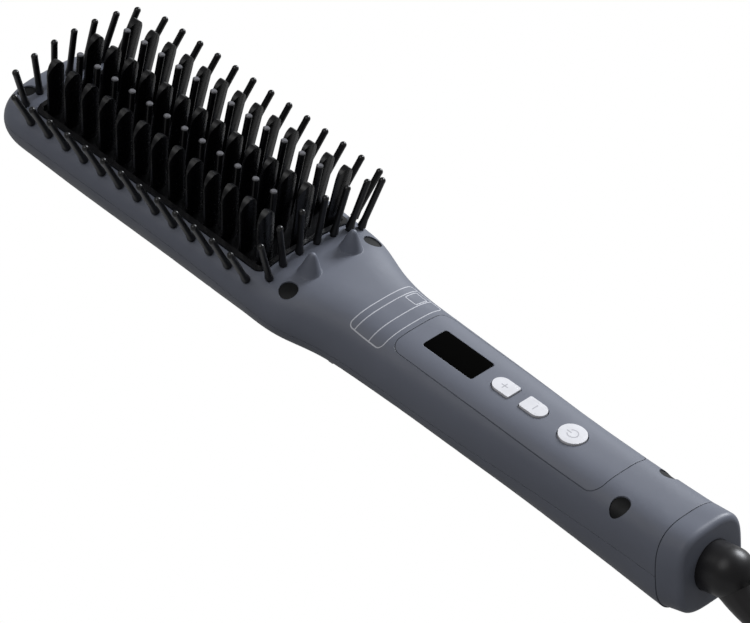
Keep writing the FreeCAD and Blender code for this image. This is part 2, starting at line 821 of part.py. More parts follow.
def seated(solid, lean):
    """Leans a tooth about X, trims it level with the plate and adds its spigot."""
    solid.rotate(Vector(), Vector(1, 0, 0), lean)
    trimmed = solid.cut(Part.makeBox(20, 20, 10, Vector(-10, -10, -10)))
    spigot = Part.makeCylinder(size("spigot_diameter") / 2, size("spigot_length") + 0.5,
                               Vector(0, 0, -size("spigot_length")))
    return trimmed.fuse(spigot).removeSplitter()


def blade(height):
    """A bullet outline across Y that widens from its foot, and a lens-shaped plan with thin edges."""
    half = size("blade_width") / 2
    foot_half = size("blade_foot_width") / 2
    shoulder = height - 1.45 * half
    foot = -1.5
    outline = Part.Wire([
        Part.makeLine(Vector(0, foot_half, foot), Vector(0, half * 0.93, shoulder)),
        Part.Arc(Vector(0, half * 0.93, shoulder), Vector(0, half * 0.6, height - 0.4 * half),
                 Vector(0, 0, height)).toShape(),
        Part.Arc(Vector(0, 0, height), Vector(0, -half * 0.6, height - 0.4 * half),
                 Vector(0, -half * 0.93, shoulder)).toShape(),
        Part.makeLine(Vector(0, -half * 0.93, shoulder), Vector(0, -foot_half, foot)),
        Part.makeLine(Vector(0, -foot_half, foot), Vector(0, foot_half, foot))])
    side = Part.Face(outline)
    side.translate(Vector(-5, 0, 0))
    slab = side.extrude(Vector(10, 0, 0))
    thick = size("blade_thickness") / 2
    edge = half + 0.15
    lens = Part.Wire([
        Part.Arc(Vector(0, edge, foot), Vector(thick, 0, foot), Vector(0, -edge, foot)).toShape(),
        Part.Arc(Vector(0, -edge, foot), Vector(-thick, 0, foot), Vector(0, edge, foot)).toShape()])
    return slab.common(Part.Face(lens).extrude(Vector(0, 0, height - foot + 5)))


def tooth_pin(height):
    """A round pin with a chamfered flat top."""
    radius = size("pin_diameter") / 2
    chamfer = size("pin_chamfer")
    foot = -1.0
    shaft = Part.makeCylinder(radius, height - chamfer - foot, Vector(0, 0, foot))
    return shaft.fuse(Part.makeCone(radius, radius - chamfer, chamfer, Vector(0, 0, height - chamfer)))


blades = []
for row, lean, height in tooth_rows():
    pattern = seated(blade(height), lean)
    for x in blade_places():
        tooth = pattern.copy()
        tooth.translate(Vector(x, row, PLATE_TOP))
        blades.append(tooth)
feature("blade_teeth", Part.makeCompound(blades))

pins = []
for side in (-1, 1):
    pattern = seated(tooth_pin(size("pin_height")), -side * size("pin_lean"))
    for x in pin_places():
        tooth = pattern.copy()
        tooth.translate(Vector(x, side * size("pin_row"), PLATE_TOP))
        pins.append(tooth)
feature("heated_pins", Part.makeCompound(pins))


def heater_plate_shape():
    """Aluminium plate on the bezel's ledge, bored for every tooth and for the clamp screws."""
    edge = size("rim_wall") + size("plate_fit")
    plate = rounded_prism(TIP_X + size("rim_at") + edge, size("rim_length") - 2 * edge,
                          size("rim_width") - 2 * edge, size("plate_bottom"), PLATE_TOP, 1.2)
    holes = []
    radius = size("spigot_diameter") / 2 + size("spigot_fit")
    depth = size("spigot_length")
    rows = [(x, row) for x in blade_places() for row, lean, height in tooth_rows()]
    rows += [(x, side * size("pin_row")) for x in pin_places() for side in (-1, 1)]
    for x, y in rows:
        holes.append(Part.makeCylinder(radius, depth + 1, Vector(x, y, PLATE_TOP - depth)))
    bore = size("small_screw_diameter") / 2 + size("small_screw_fit")
    for x, y in clamp_screw_places():
        holes.append(Part.makeCylinder(bore, 1.5, Vector(x, y, size("plate_bottom"))))
    return plate.cut(Part.makeCompound(holes))


def clamp_screw_places():
    middle = TIP_X + RIM_MIDDLE_AT
    clamp_length = size("rim_length") - 2 * (size("rim_wall") + size("ledge_width") + size("clamp_fit"))
    reach = (clamp_length - size("clamp_tab")) / 2
    return [(middle + i * reach, j * size("clamp_screw_row")) for i in (-1, 1) for j in (-1, 1)]


feature("heater_plate", heater_plate_shape())

# The stack below the plate: film, electrode, elements, electrode, film, clamp.
FILM_TOP = "plate_bottom - film_thickness"
ELECTRODE_TOP = f"{FILM_TOP} - electrode_thickness"
ELEMENT_LOW = f"{ELECTRODE_TOP} - element_thickness"
ELECTRODE_LOW = f"{ELEMENT_LOW} - electrode_thickness"
FILM_LOW = f"{ELECTRODE_LOW} - film_thickness"
CLAMP_LOW = f"{FILM_LOW} - clamp_thickness"
CLAMP_LENGTH = "(rim_length - 2 * (rim_wall + ledge_width + clamp_fit))"

group("insulation_films",
      block("film_upper", "stack_length", "electrode_width + 2", "film_thickness", RIM_MIDDLE, "0", FILM_TOP),
      block("film_lower", "stack_length", "electrode_width + 2", "film_thickness", RIM_MIDDLE, "0", FILM_LOW))
group("electrode_strips",
      block("strip_upper", "stack_length", "electrode_width", "electrode_thickness",
            RIM_MIDDLE, "0", ELECTRODE_TOP),
      block("strip_lower", "stack_length", "electrode_width", "electrode_thickness",
            RIM_MIDDLE, "0", ELECTRODE_LOW))
group("ptc_elements", *[
    block(f"element_{i + 2}", "element_length", "element_width", "element_thickness",
          f"{RIM_MIDDLE} + {i} * element_pitch", "0", ELEMENT_LOW) for i in (-1, 0, 1)])

clamp_bar = block("clamp_bar", CLAMP_LENGTH, "clamp_width", "clamp_thickness", RIM_MIDDLE, "0", CLAMP_LOW)
clamp_tabs = [
    block(f"clamp_tab_{name}", "clamp_tab", "clamp_width", f"plate_bottom - ({FILM_LOW})",
          f"{RIM_MIDDLE} {sign} ({CLAMP_LENGTH} - clamp_tab) / 2", "0", FILM_LOW)
    for name, sign in (("front", "-"), ("rear", "+"))]
clamp_holes = []
clamp_screws = []
for i, sign_x in enumerate("-+"):
    for j, sign_y in enumerate("-+"):
        spot = (f"{RIM_MIDDLE} {sign_x} ({CLAMP_LENGTH} - clamp_tab) / 2", f"0 {sign_y} clamp_screw_row")
        clamp_holes.append(rod(f"clamp_hole_{i}{j}", "small_screw_diameter + 2 * small_screw_fit",
                               "plate_bottom", *spot, "0"))
        shank = rod(f"clamp_shank_{i}{j}", "small_screw_diameter",
                    f"plate_bottom + 1.4 - ({CLAMP_LOW})", *spot, CLAMP_LOW)
        head = rod(f"clamp_head_{i}{j}", "small_head_diameter", "small_head_height", *spot,
                   f"{CLAMP_LOW} - small_head_height")
        clamp_screws.append(fuse(f"clamp_screw_{i}{j}", shank, head))
clamp_holes.append(block("clamp_notch", CLAMP_LENGTH, "clamp_notch_width", "plate_bottom",
                         f"{RIM_MIDDLE} + stack_length / 2 - 0.4 + {CLAMP_LENGTH} / 2", "0", "0"))
cut("heater_clamp", fuse("clamp_blank", clamp_bar, *clamp_tabs), group("clamp_holes", *clamp_holes))
group("heater_screws", *clamp_screws)

sheet_part("heat_shield", "shield_length", "shield_width", "shield_thickness", RIM_MIDDLE,
           "shield_top - shield_thickness",
           [((i, "shield_length / 2 - shield_post_inset"), (0, "0"),
             "small_screw_diameter + 2 * small_screw_fit") for i in (-1, 1)])
group("shield_screws", *[
    fuse(f"shield_screw_{name}",
         rod(f"shield_shank_{name}", "small_screw_diameter", "shield_thickness + 2.8",
             f"{RIM_MIDDLE} {sign} (shield_length / 2 - shield_post_inset)", "0",
             "shield_top - shield_thickness - 2.8"),
         rod(f"shield_head_{name}", "small_head_diameter", "small_head_height",
             f"{RIM_MIDDLE} {sign} (shield_length / 2 - shield_post_inset)", "0", "shield_top"))
    for name, sign in (("front", "-"), ("rear", "+"))])

ALONG = Vector(1, 0, 0)
rod("thermistor", "probe_diameter", "probe_length", f"{RIM_MIDDLE} + 12", "0 - 6",
    f"{CLAMP_LOW} - probe_diameter / 2 - 0.1", ALONG)
rod("thermal_fuse", "fuse_link_diameter", "fuse_link_length", f"{RIM_MIDDLE} + 6", "6",
    f"{CLAMP_LOW} - fuse_link_diameter / 2 - 0.1", ALONG)

# ---------------------------------------------------------------- guard bristles


def bristle(foot, way):
    """A nylon bristle: a root in its socket, a flared foot and a round tip."""
    radius = size("bristle_diameter") / 2
    root = size("bristle_root")
    flare = size("bristle_foot_length")
    length = size("bristle_length")
    parts = [
        Part.makeCylinder(radius, root + length - radius * 0.8, Vector(0, 0, -root)),
        Part.makeCone(size("bristle_foot") / 2, radius, flare, Vector(0, 0, FOOT_RISE)),
        Part.makeSphere(radius * 1.05, Vector(0, 0, length - radius * 1.05))]
    solid = parts[0].fuse(parts[1:]).removeSplitter()
    solid.Placement = Placement(foot, Rotation(Vector(0, 0, 1), way))
    return solid


FOOT_RISE = 0.9
feature("guard_bristles", Part.makeCompound([bristle(foot, way) for foot, way in BRISTLES]))

# ---------------------------------------------------------------- control panel and buttons

PANEL_X = TIP_X + PANEL_AT
NECK_AT = "tip_x + " + " + ".join(f"{name}_step" for name in list(STATIONS)[:9])
PANEL_START = f"{NECK_AT} + panel_start"


def key_prism(start, length, width, grow, bottom, top, round_end):
    """An upright prism with a D outline; round_end is -1 towards the head, 1 towards the tail."""
    half = width / 2 + grow
    flat_x = PANEL_X + start + (length if round_end < 0 else 0) - round_end * grow
    arc_x = PANEL_X + start + (width / 2 if round_end < 0 else length - width / 2)
    outline = Part.Wire([
        Part.makeLine(Vector(flat_x, -half, bottom), Vector(arc_x, -half, bottom)),
        Part.Arc(Vector(arc_x, -half, bottom), Vector(arc_x + round_end * half, 0, bottom),
                 Vector(arc_x, half, bottom)).toShape(),
        Part.makeLine(Vector(arc_x, half, bottom), Vector(flat_x, half, bottom)),
        Part.makeLine(Vector(flat_x, half, bottom), Vector(flat_x, -half, bottom))])
    solid = Part.Face(outline).extrude(Vector(0, 0, top - bottom))
    corners = [edge for edge in solid.Edges if abs(edge.tangentAt(edge.FirstParameter).z) > 0.9
               and abs(edge.Vertexes[0].X - flat_x) < 0.01]
    return solid.makeFillet(KEY_CORNER + grow, corners)


KEY_CORNER = 0.7


def power_prism(grow, bottom, top):
    x = PANEL_X + size("power_start") + size("power_diameter") / 2
    return Part.makeCylinder(size("power_diameter") / 2 + grow, top - bottom, Vector(x, 0, bottom))


def key(name, grow, bottom, top):
    if name == "power":
        return power_prism(grow, bottom, top)
    round_end = -1 if name == "plus" else 1
    return key_prism(size(f"{name}_start"), size(f"{name}_length"), size(f"{name}_width"),
                     grow, bottom, top, round_end)


KEYS = ("plus", "minus", "power")


def key_middle(name):
    if name == "power":
        return size("power_start") + size("power_diameter") / 2
    return size(f"{name}_start") + size(f"{name}_length") / 2


def display_prism(grow, bottom, top):
    return rounded_prism(PANEL_X + size("display_start") - grow, size("display_length") + 2 * grow,
                         size("display_width") + 2 * grow, bottom, top, size("display_corner") + grow * 0.5)


def post_places():
    """The panel's four posts, which carry the control board."""
    middle = PANEL_X + size("board_start") + size("board_length") / 2
    reach = size("board_length") / 2 - size("board_screw_inset")
    row = size("board_width") / 2 - size("board_screw_inset")
    return [(middle + i * reach, j * row) for i in (-1, 1) for j in (-1, 1)]


def control_panel_shape():
    bottom = size("panel_bottom")
    panel = OUTER.common(panel_prism(0, bottom, RAISED))
    posts = [Part.makeCylinder(size("post_diameter") / 2, bottom + 0.5 - size("board_top"),
                               Vector(x, y, size("board_top"))) for x, y in post_places()]
    panel = panel.fuse(posts)
    gap = size("button_gap")
    cuts = [key(name, gap, 0, RAISED) for name in KEYS]
    cuts.append(display_prism(size("display_gap"), size("display_bottom"), RAISED))
    cuts.append(display_prism(-size("display_lip"), 0, RAISED))
    bore = size("small_screw_diameter") / 2 + size("small_screw_fit")
    for x, y in post_places():
        cuts.append(Part.makeCylinder(bore, 3.2, Vector(x, y, size("board_top"))))
    return panel.cut(Part.makeCompound(cuts))


feature("control_panel", control_panel_shape())
feature("display_window", OUTER.common(display_prism(0, size("display_bottom"), RAISED)))

STEM_TOP = size("board_top") + size("switch_height") + 0.9


def button_shape(name):
    """A cap that follows the panel, a retaining flange below the panel, and a short post."""
    flange_top = size("panel_bottom") - size("button_flange_drop")
    flange_low = flange_top - size("button_flange_thickness")
    cap = lifted_form(size("button_proud")).common(key(name, 0, flange_top - 0.1, RAISED))
    flange = key(name, size("button_flange"), flange_low, flange_top)
    post = Part.makeCylinder(size("stem_diameter") / 2, flange_low - STEM_TOP + 0.1,
                             Vector(PANEL_X + key_middle(name), 0, STEM_TOP))
    return cap.fuse([flange, post])


for key_name in KEYS:
    feature(f"{key_name}_button", button_shape(key_name))

BOARD_MIDDLE = f"{PANEL_START} + board_start + board_length / 2"
sheet_part("control_board", "board_length", "board_width", "board_thickness", BOARD_MIDDLE,
           "board_top - board_thickness",
           four("board_length / 2 - board_screw_inset", "board_width / 2 - board_screw_inset",
                "small_screw_diameter + 2 * small_screw_fit"))

KEY_PLACES = {
    "plus": f"{PANEL_START} + plus_start + plus_length / 2",
    "minus": f"{PANEL_START} + minus_start + minus_length / 2",
    "power": f"{PANEL_START} + power_start + power_diameter / 2",
}
switches = []
for key_name, x_text in KEY_PLACES.items():
    case = block(f"{key_name}_switch_case", "switch_side", "switch_side", "switch_height", x_text, "0",
                 "board_top")
    well = rod(f"{key_name}_switch_well", "stem_diameter + 2 * stem_fit", "switch_height",
               x_text, "0", "board_top + 1.1")
    switches.append(cut(f"{key_name}_switch", case, well))
    rod(f"{key_name}_switch_stem", "stem_diameter", "switch_height + 0.9 - 1.7", x_text, "0",
        "board_top + 1.7")
group("tact_switches", *switches)

block("display_module", "module_length", "module_width", "module_height",
      f"{PANEL_START} + display_start + display_length / 2", "0", "board_top")
block("control_chip", "chip_side", "chip_side", "chip_height",
      f"{PANEL_START} + 52", "0", "board_top - board_thickness - chip_height")

board_screws = []
for i, sign_x in enumerate("-+"):
    for j, sign_y in enumerate("-+"):
        spot = (f"{BOARD_MIDDLE} {sign_x} (board_length / 2 - board_screw_inset)",
                f"0 {sign_y} (board_width / 2 - board_screw_inset)")
        under = "board_top - board_thickness"
        shank = rod(f"board_shank_{i}{j}", "small_screw_diameter", "board_thickness + 3", *spot, under)
        head = rod(f"board_head_{i}{j}", "small_head_diameter", "small_head_height", *spot,
                   f"{under} - small_head_height")
        board_screws.append(fuse(f"board_screw_{i}{j}", shank, head))

# ---------------------------------------------------------------- power board

POWER_MIDDLE = f"{PANEL_START} + power_board_start + power_board_length / 2"
POWER_LOW = "power_board_top - board_thickness"
sheet_part("power_board", "power_board_length", "power_board_width", "board_thickness", POWER_MIDDLE,
           POWER_LOW, [((i, "power_board_length / 2 - board_screw_inset"), (0, "0"),
             "small_screw_diameter + 2 * small_screw_fit") for i in (-1, 1)])
for name, sign in (("front", "-"), ("rear", "+")):
    spot = (f"{POWER_MIDDLE} {sign} (power_board_length / 2 - board_screw_inset)", "0")
    shank = rod(f"power_shank_{name}", "small_screw_diameter", "board_thickness + 2.8", *spot,
                f"{POWER_LOW} - 2.8")
    head = rod(f"power_head_{name}", "small_head_diameter", "small_head_height", *spot, "power_board_top")
    board_screws.append(fuse(f"power_screw_{name}", shank, head))
group("board_screws", *board_screws)

POWER_START = f"{PANEL_START} + power_board_start"
block("triac", "triac_length", "triac_width", "triac_height", f"{POWER_START} + triac_at", "0",
      "power_board_top")
block("filter_capacitor", "capacitor_length", "capacitor_width", "capacitor_height",
      f"{POWER_START} + capacitor_at", "0 - capacitor_row", "power_board_top")
rod("mains_fuse", "fuse_diameter", "fuse_length", f"{POWER_START} + mains_fuse_at", "0",
    "power_board_top + fuse_diameter / 2", ALONG)
block("terminal_block", "terminal_length", "terminal_width", "terminal_height",
      f"{POWER_START} + terminal_at", "0", "power_board_top")
block("board_connector", "connector_length", "connector_width",
      "board_top - board_thickness - power_board_top", f"{POWER_START} + connector_at", "connector_row",
      "power_board_top")

# ---------------------------------------------------------------- case screws and plugs


def case_screw(seat, length):
    head = Part.makeCylinder(size("screw_head_diameter") / 2, size("screw_head_height"), seat)
    shank_foot = Vector(seat.x, seat.y, seat.z - length + 0.2)
    shank = Part.makeCylinder(size("screw_diameter") / 2, length - 0.2, shank_foot)
    slot = Part.makeBox(4, 0.8, 1, Vector(seat.x - 2, seat.y - 0.4, seat.z + size("screw_head_height") - 1))
    cross = Part.makeBox(0.8, 4, 1, Vector(seat.x - 0.4, seat.y - 2, seat.z + size("screw_head_height") - 1))
    return head.fuse(shank).cut(Part.makeCompound([slot, cross]))


def screw_plug(seat):
    """A soft plug in the screw's well, its top following the surface just below it."""
    foot = Vector(seat.x, seat.y, seat.z + size("screw_head_height"))
    blank = Part.makeCylinder(size("plug_diameter") / 2, RAISED, foot)
    return blank.common(lifted_form(-size("plug_recess")))


feature("housing_screws", Part.makeCompound([case_screw(seat, length) for seat, length in each_screw()]))
feature("screw_plugs", Part.makeCompound([screw_plug(seat) for seat, length in each_screw()]))

# ---------------------------------------------------------------- tail cap and swivel

TAIL_FRAME = Placement(SEAM_CENTRE + TO_TIP, Rotation(Vector(0, 1, 0), -size("cap_tilt")))


def tail_cap_shape():
    """A short tapered cap with a rounded end, a spigot, and a stepped bore for the swivel."""
    start = size("seam_gap") / 2
    length = size("cap_length")
    ends = ((start, "start", 3.0), (length, "end", size("cap_end_exponent")))
    wires = []
    for at, end, power in ends:
        half_width = size(f"cap_{end}_half_width")
        half_height = size(f"cap_{end}_half_height")
        wires.append(superellipse(at, half_width, half_height, half_height, 0.0, power, power))
    cap = Part.makeLoft(wires, True, True)
    rim = [edge for edge in cap.Edges if edge.BoundBox.XMin > length - 0.01]
    cap = cap.makeFillet(size("cap_edge"), rim)
    cap.Placement = TAIL_FRAME
    spigot_start = -length - size("cap_spigot")
    spigot_length = size("cap_spigot") + start + 1.0
    cap = cap.fuse(tilted_rod(size("cap_spigot_diameter") / 2, spigot_start, spigot_length))
    bore = size("cap_bore_diameter") / 2
    end_wall = size("cap_end_wall")
    chamber = size("hub_flange_diameter") / 2 + size("hub_play")
    pocket = size("hub_flange_thickness") + 2 * size("hub_play")
    tools = [
        tilted_rod(size("cord_hole_diameter") / 2, -end_wall - 1, end_wall + 5),
        tilted_rod(chamber, -end_wall - pocket, pocket),
        tilted_rod(bore, spigot_start - 2, 2 - spigot_start - end_wall - pocket)]
    return cap.cut(Part.makeCompound(tools))


feature("tail_cap", tail_cap_shape())

FLANGE_FRONT = -size("cap_end_wall") - size("hub_play")
FLANGE_BACK = FLANGE_FRONT - size("hub_flange_thickness")
RETAINER_FRONT = FLANGE_BACK - size("hub_play")
RETAINER_BACK = RETAINER_FRONT - size("retainer_thickness")
NECK_BACK = FLANGE_BACK - size("hub_neck_length")

retainer_radius = size("cap_bore_diameter") / 2 - size("hub_fit")
retainer = tilted_rod(retainer_radius, RETAINER_BACK, size("retainer_thickness"))
feature("swivel_retainer", retainer.cut(tilted_rod(size("retainer_hole_diameter") / 2, -30, 40)))

RING_STARTS = [RETAINER_BACK - 0.3 - size("ring_width") - i * size("ring_pitch") for i in range(2)]


def contact_rings_shape():
    bore = tilted_rod(size("hub_neck_diameter") / 2, -30, 60)
    radius, width = size("ring_diameter") / 2, size("ring_width")
    return Part.makeCompound([tilted_rod(radius, start, width).cut(bore) for start in RING_STARTS])


def contact_brush(ring, side):
    """A spring contact beside one ring, standing on the retainer's back face."""
    reach = size("ring_diameter") / 2 + size("brush_gap")
    width = size("brush_width")
    depth = size("brush_depth")
    offset = size("cap_length")
    far = RING_STARTS[ring]
    nose = Part.makeBox(size("ring_width"), width, depth, Vector(offset + far, -width / 2, reach))
    arm_length = RETAINER_BACK - far
    arm = Part.makeBox(arm_length, width, depth - 1.0, Vector(offset + far, -width / 2, reach + 1.0))
    solid = nose.fuse(arm)
    if side < 0:
        solid.rotate(Vector(), Vector(1, 0, 0), 180)
    solid.Placement = TAIL_FRAME.multiply(solid.Placement)
    return solid


feature("contact_rings", contact_rings_shape())
feature("contact_brushes", Part.makeCompound([contact_brush(0, 1), contact_brush(1, -1)]))

# ---------------------------------------------------------------- strain relief

YAW = math.radians(size("relief_yaw"))


def heading(drop):
    """A unit direction that falls by an angle below level, at the relief's yaw."""
    fall = math.radians(drop)
    return Vector(math.cos(fall) * math.cos(YAW), math.cos(fall) * math.sin(YAW), -math.sin(fall))


RELIEF_ROOT = CAP_END + TO_TIP + CORD_AXIS * size("relief_start")


def relief_stations(count=9):
    """Centre, direction and travel along the strain relief: straight, then levelling out."""
    drop = size("relief_drop")
    radius = size("relief_bend_radius")
    straight = size("relief_straight")
    stations = [(RELIEF_ROOT + heading(drop) * s, heading(drop), s) for s in (size("relief_skip"), straight)]
    centre = RELIEF_ROOT + heading(drop) * straight
    turn = drop - size("relief_exit_drop")
    for i in range(1, count + 1):
        step = math.radians(turn / count) * radius
        middle = drop - turn * (i - 0.5) / count
        centre = centre + heading(middle) * step
        travel = straight + math.radians(turn) * radius * i / count
        stations.append((centre, heading(drop - turn * i / count), travel))
    return stations


RELIEF = relief_stations()
RELIEF_END, RELIEF_EXIT, RELIEF_TRAVEL = RELIEF[-1]


def relief_shape():
    """A tapered sleeve, lofted through circles square to its line."""
    root = size("relief_root_diameter") / 2
    tip = size("relief_tip_diameter") / 2
    wires = []
    for centre, way, travel in RELIEF:
        radius = root + (tip - root) * travel / RELIEF_TRAVEL
        wires.append(Part.Wire([Part.Circle(centre, way, radius).toShape()]))
    return Part.makeLoft(wires, True, False)


relief = relief_shape()
feature("cord_strain_relief", relief)


def swivel_hub_shape():
    """A domed hub on a flange and a hollow neck; the strain relief is set into its dome."""
    barrel = tilted_rod(HUB_RADIUS, FLANGE_FRONT, size("hub_reach") - FLANGE_FRONT)
    dome = Part.makeSphere(HUB_RADIUS, HUB_TOP + TO_TIP)
    flange = tilted_rod(size("hub_flange_diameter") / 2, FLANGE_BACK, size("hub_flange_thickness"))
    neck = tilted_rod(size("hub_neck_diameter") / 2, NECK_BACK, -NECK_BACK)
    solid = barrel.fuse([dome, flange, neck])
    bore = tilted_rod(size("hub_bore_diameter") / 2, NECK_BACK - 1, 8.0)
    return solid.cut(bore).cut(relief)


feature("swivel_hub", swivel_hub_shape())

# ---------------------------------------------------------------- wires inside the case


def route_edges(points):
    """Straight runs joined by tangent arcs, each as large as its two runs allow."""
    edges = []
    here = points[0]
    radii = []
    for before, corner, after in zip(points, points[1:], points[2:]):
        way_in = (corner - before).normalize()
        way_out = (after - corner).normalize()
        turn = way_in.getAngle(way_out)
        shorter = min((corner - before).Length, (after - corner).Length)
        radius = 0.45 * shorter / math.tan(turn / 2)
        reach = radius * math.tan(turn / 2)
        arc_start = corner - way_in * reach
        arc_end = corner + way_out * reach
        inward = (way_out - way_in).normalize()
        middle = corner + inward * (radius / math.cos(turn / 2) - radius)
        edges.append(Part.LineSegment(here, arc_start).toShape())
        edges.append(Part.Arc(arc_start, middle, arc_end).toShape())
        radii.append(radius)
        here = arc_end
    edges.append(Part.LineSegment(here, points[-1]).toShape())
    return edges, radii


def tube(name, points, diameter):
    """A round tube along a route; its radii, length and volume are printed."""
    edges, radii = route_edges(points)
    path = Part.Wire(edges)
    start = (points[1] - points[0]).normalize()
    profile = Part.Wire([Part.Circle(points[0], start, diameter / 2).toShape()])
    solid = path.makePipeShell([profile], True, False)
    expected = math.pi * diameter ** 2 / 4 * path.Length
    print(f"{name}: length {path.Length:.1f}, radii {[round(r, 1) for r in radii]}, "
          f"volume ratio {solid.Volume / expected:.4f}")
    return solid


def wire_pair(name, routes, diameter):
    shapes = [tube(f"{name} {i}", route, diameter) for i, route in enumerate(routes)]
    return feature(name, Part.makeCompound(shapes))


stack_end = TIP_X + RIM_MIDDLE_AT + size("stack_length") / 2
under_clamp = (size("plate_bottom") - 2 * size("film_thickness") - 2 * size("electrode_thickness")
               - size("element_thickness") - size("clamp_thickness"))
strip_high = size("plate_bottom") - size("film_thickness") - size("electrode_thickness") / 2
strip_low = strip_high - size("electrode_thickness") - size("element_thickness")
terminal_x = PANEL_X + size("power_board_start") + size("terminal_at") - size("terminal_length") / 2 - 0.1
terminal = Vector(terminal_x, 0, size("power_board_top") + size("terminal_height") / 2)
link_x = TIP_X + RIM_MIDDLE_AT + 6
link_z = under_clamp - size("fuse_link_diameter") / 2 - 0.1
probe_x = TIP_X + RIM_MIDDLE_AT + 12 + size("probe_length")
probe_z = under_clamp - size("probe_diameter") / 2 - 0.1
board_low = size("board_top") - size("board_thickness")

heater_routes = [
    [Vector(stack_end + 0.1, -2.5, strip_high - 0.5), Vector(stack_end + 2.4, -2.5, strip_high - 1.1),
     Vector(stack_end + 3.0, -2.7, 17.6), Vector(stack_end + 8, -3, 15.2),
     Vector(stack_end + 40, -3.5, 14.6), terminal + Vector(-18, -2.5, 0.4), terminal + Vector(0, -2.5, 0)],
    [Vector(stack_end + 0.1, 2.5, strip_low), Vector(stack_end + 2.4, 2.5, strip_low - 0.5),
     Vector(stack_end + 1.6, 3.4, link_z + 0.1), Vector(stack_end - 6, 5.4, link_z),
     Vector(link_x + size("fuse_link_length") + 0.1, 6, link_z)],
    [Vector(link_x - 0.1, 6, link_z), Vector(link_x - 5, 6.4, link_z), Vector(link_x - 6.6, 9.6, link_z),
     Vector(link_x - 1, 12.2, link_z - 0.2), Vector(link_x + 38, 11, link_z - 0.4),
     Vector(stack_end + 30, 5, 15), terminal + Vector(-18, 2.5, 0.8), terminal + Vector(0, 2.5, 0)],
]
wire_pair("heater_wires", heater_routes, size("lead_diameter"))

sensor_routes = [
    [Vector(probe_x + 0.1, -6 + side * 0.6, probe_z), Vector(probe_x + 14, -6.5 + side * 0.7, probe_z),
     Vector(probe_x + 50, -6.6 + side * 0.8, 15.8), Vector(PANEL_X - 6, -6.7 + side, 13.6),
     Vector(PANEL_X + 8.8, -6.7 + side, 13.8), Vector(PANEL_X + 11.0, -6.5 + side, board_low - 0.35)]
    for side in (-1, 1)]
wire_pair("sensor_wires", sensor_routes, size("sensor_lead_diameter"))


def in_tail(along, across, up):
    """A place given along, across and above the cord's axis, from the middle of the tail seam."""
    return TAIL_FRAME.multVec(Vector(along, across, up))


brush_middle = size("ring_diameter") / 2 + size("brush_gap") + size("brush_depth") / 2 + 0.5
live = in_tail(size("cap_length") + RING_STARTS[0] - 0.1, 0, brush_middle)
neutral = in_tail(size("cap_length") + RING_STARTS[1] - 0.1, 0, -brush_middle)
board_end = PANEL_X + size("power_board_start") + size("power_board_length")
landing = size("power_board_top") + 0.45
mains_routes = [
    [live, live - CORD_AXIS * 4 + Vector(0, 0.4, 0), Vector(board_end - 2, 3.4, 18.5),
     Vector(board_end - 5.7, 4.8, 15), Vector(board_end - 6, 4.8, landing)],
    [neutral, neutral - CORD_AXIS * 3.4 + Vector(0, -0.8, 0), Vector(board_end + 3.2, -3.2, 9.8),
     Vector(board_end + 0.4, -4.4, 13.6), Vector(board_end - 3.4, -4.8, 14.2),
     Vector(board_end - 5, -4.8, landing)],
]
wire_pair("mains_wires", mains_routes, size("lead_diameter"))

# ---------------------------------------------------------------- cord, coil and mains plug

CORD = size("cord_diameter")
COIL_CENTRE = CAP_END + TO_TIP + Vector(119.5, 0, 0)
COIL_CENTRE.z = 0
COIL_MEAN = size("coil_mean_diameter") / 2
COIL_OUTER = COIL_MEAN + (size("coil_columns") - 1) / 2 * CORD
COIL_TOP = (size("coil_layers") - 0.5) * CORD
ENTRY = -0.75 * HALF_TURN

coil_entry = COIL_CENTRE + Vector(COIL_OUTER * math.cos(ENTRY), COIL_OUTER * math.sin(ENTRY), COIL_TOP)
cord_points = [
    RELIEF_END,
    RELIEF_END + RELIEF_EXIT * 21.5,
    coil_entry + Vector(-17.1, 17.1, -2.5),
    coil_entry,
]
feature("power_cord", tube("power_cord", cord_points, CORD))

coil_inner_edge = COIL_MEAN - size("coil_columns") / 2 * CORD
coil_outer_edge = COIL_MEAN + size("coil_columns") / 2 * CORD
coil = Part.makeCylinder(coil_outer_edge, size("coil_layers") * CORD, COIL_CENTRE)
feature("cord_coil", coil.cut(Part.makeCylinder(coil_inner_edge, 3 * size("coil_layers") * CORD,
                                                COIL_CENTRE - Vector(0, 0, CORD))))

# The lead leaves the coil's lower layer towards the brush, and rises to the plug's middle.
lead_points = [
    COIL_CENTRE + Vector(0, COIL_OUTER, CORD / 2),
    COIL_CENTRE + Vector(-24, COIL_OUTER, CORD / 2),
    COIL_CENTRE + Vector(-47, COIL_OUTER - 7, size("plug_body_height") / 2),
]
feature("plug_lead", tube("plug_lead", lead_points, CORD))

plug_way = lead_points[-1] - lead_points[-2]
lead_rise = plug_way.z
plug_way.z = 0
plug_start = lead_points[-1] + plug_way.normalize() * (CORD / 2 * lead_rise / 24 + 0.05)
plug_turn = math.degrees(math.atan2(plug_way.y, plug_way.x))
plug_frame = Placement(plug_start, Rotation(Vector(0, 0, 1), plug_turn))
relief_length = size("plug_relief_length")
body_length = size("plug_body_length")
sleeve = Part.makeCone(CORD / 2 + 0.6, size("plug_body_height") / 2 - 0.6, relief_length + 0.5,
                       Vector(0, 0, 0), Vector(1, 0, 0))
shell = Part.makeBox(body_length, size("plug_body_width"), size("plug_body_height"),
                     Vector(relief_length, -size("plug_body_width") / 2, -size("plug_body_height") / 2))
shell = shell.makeFillet(size("plug_corner"), [edge for edge in shell.Edges
                                               if abs(edge.tangentAt(edge.FirstParameter).x) > 0.9])
blade_start = relief_length + body_length - size("plug_blade_root")
plug_blades = []
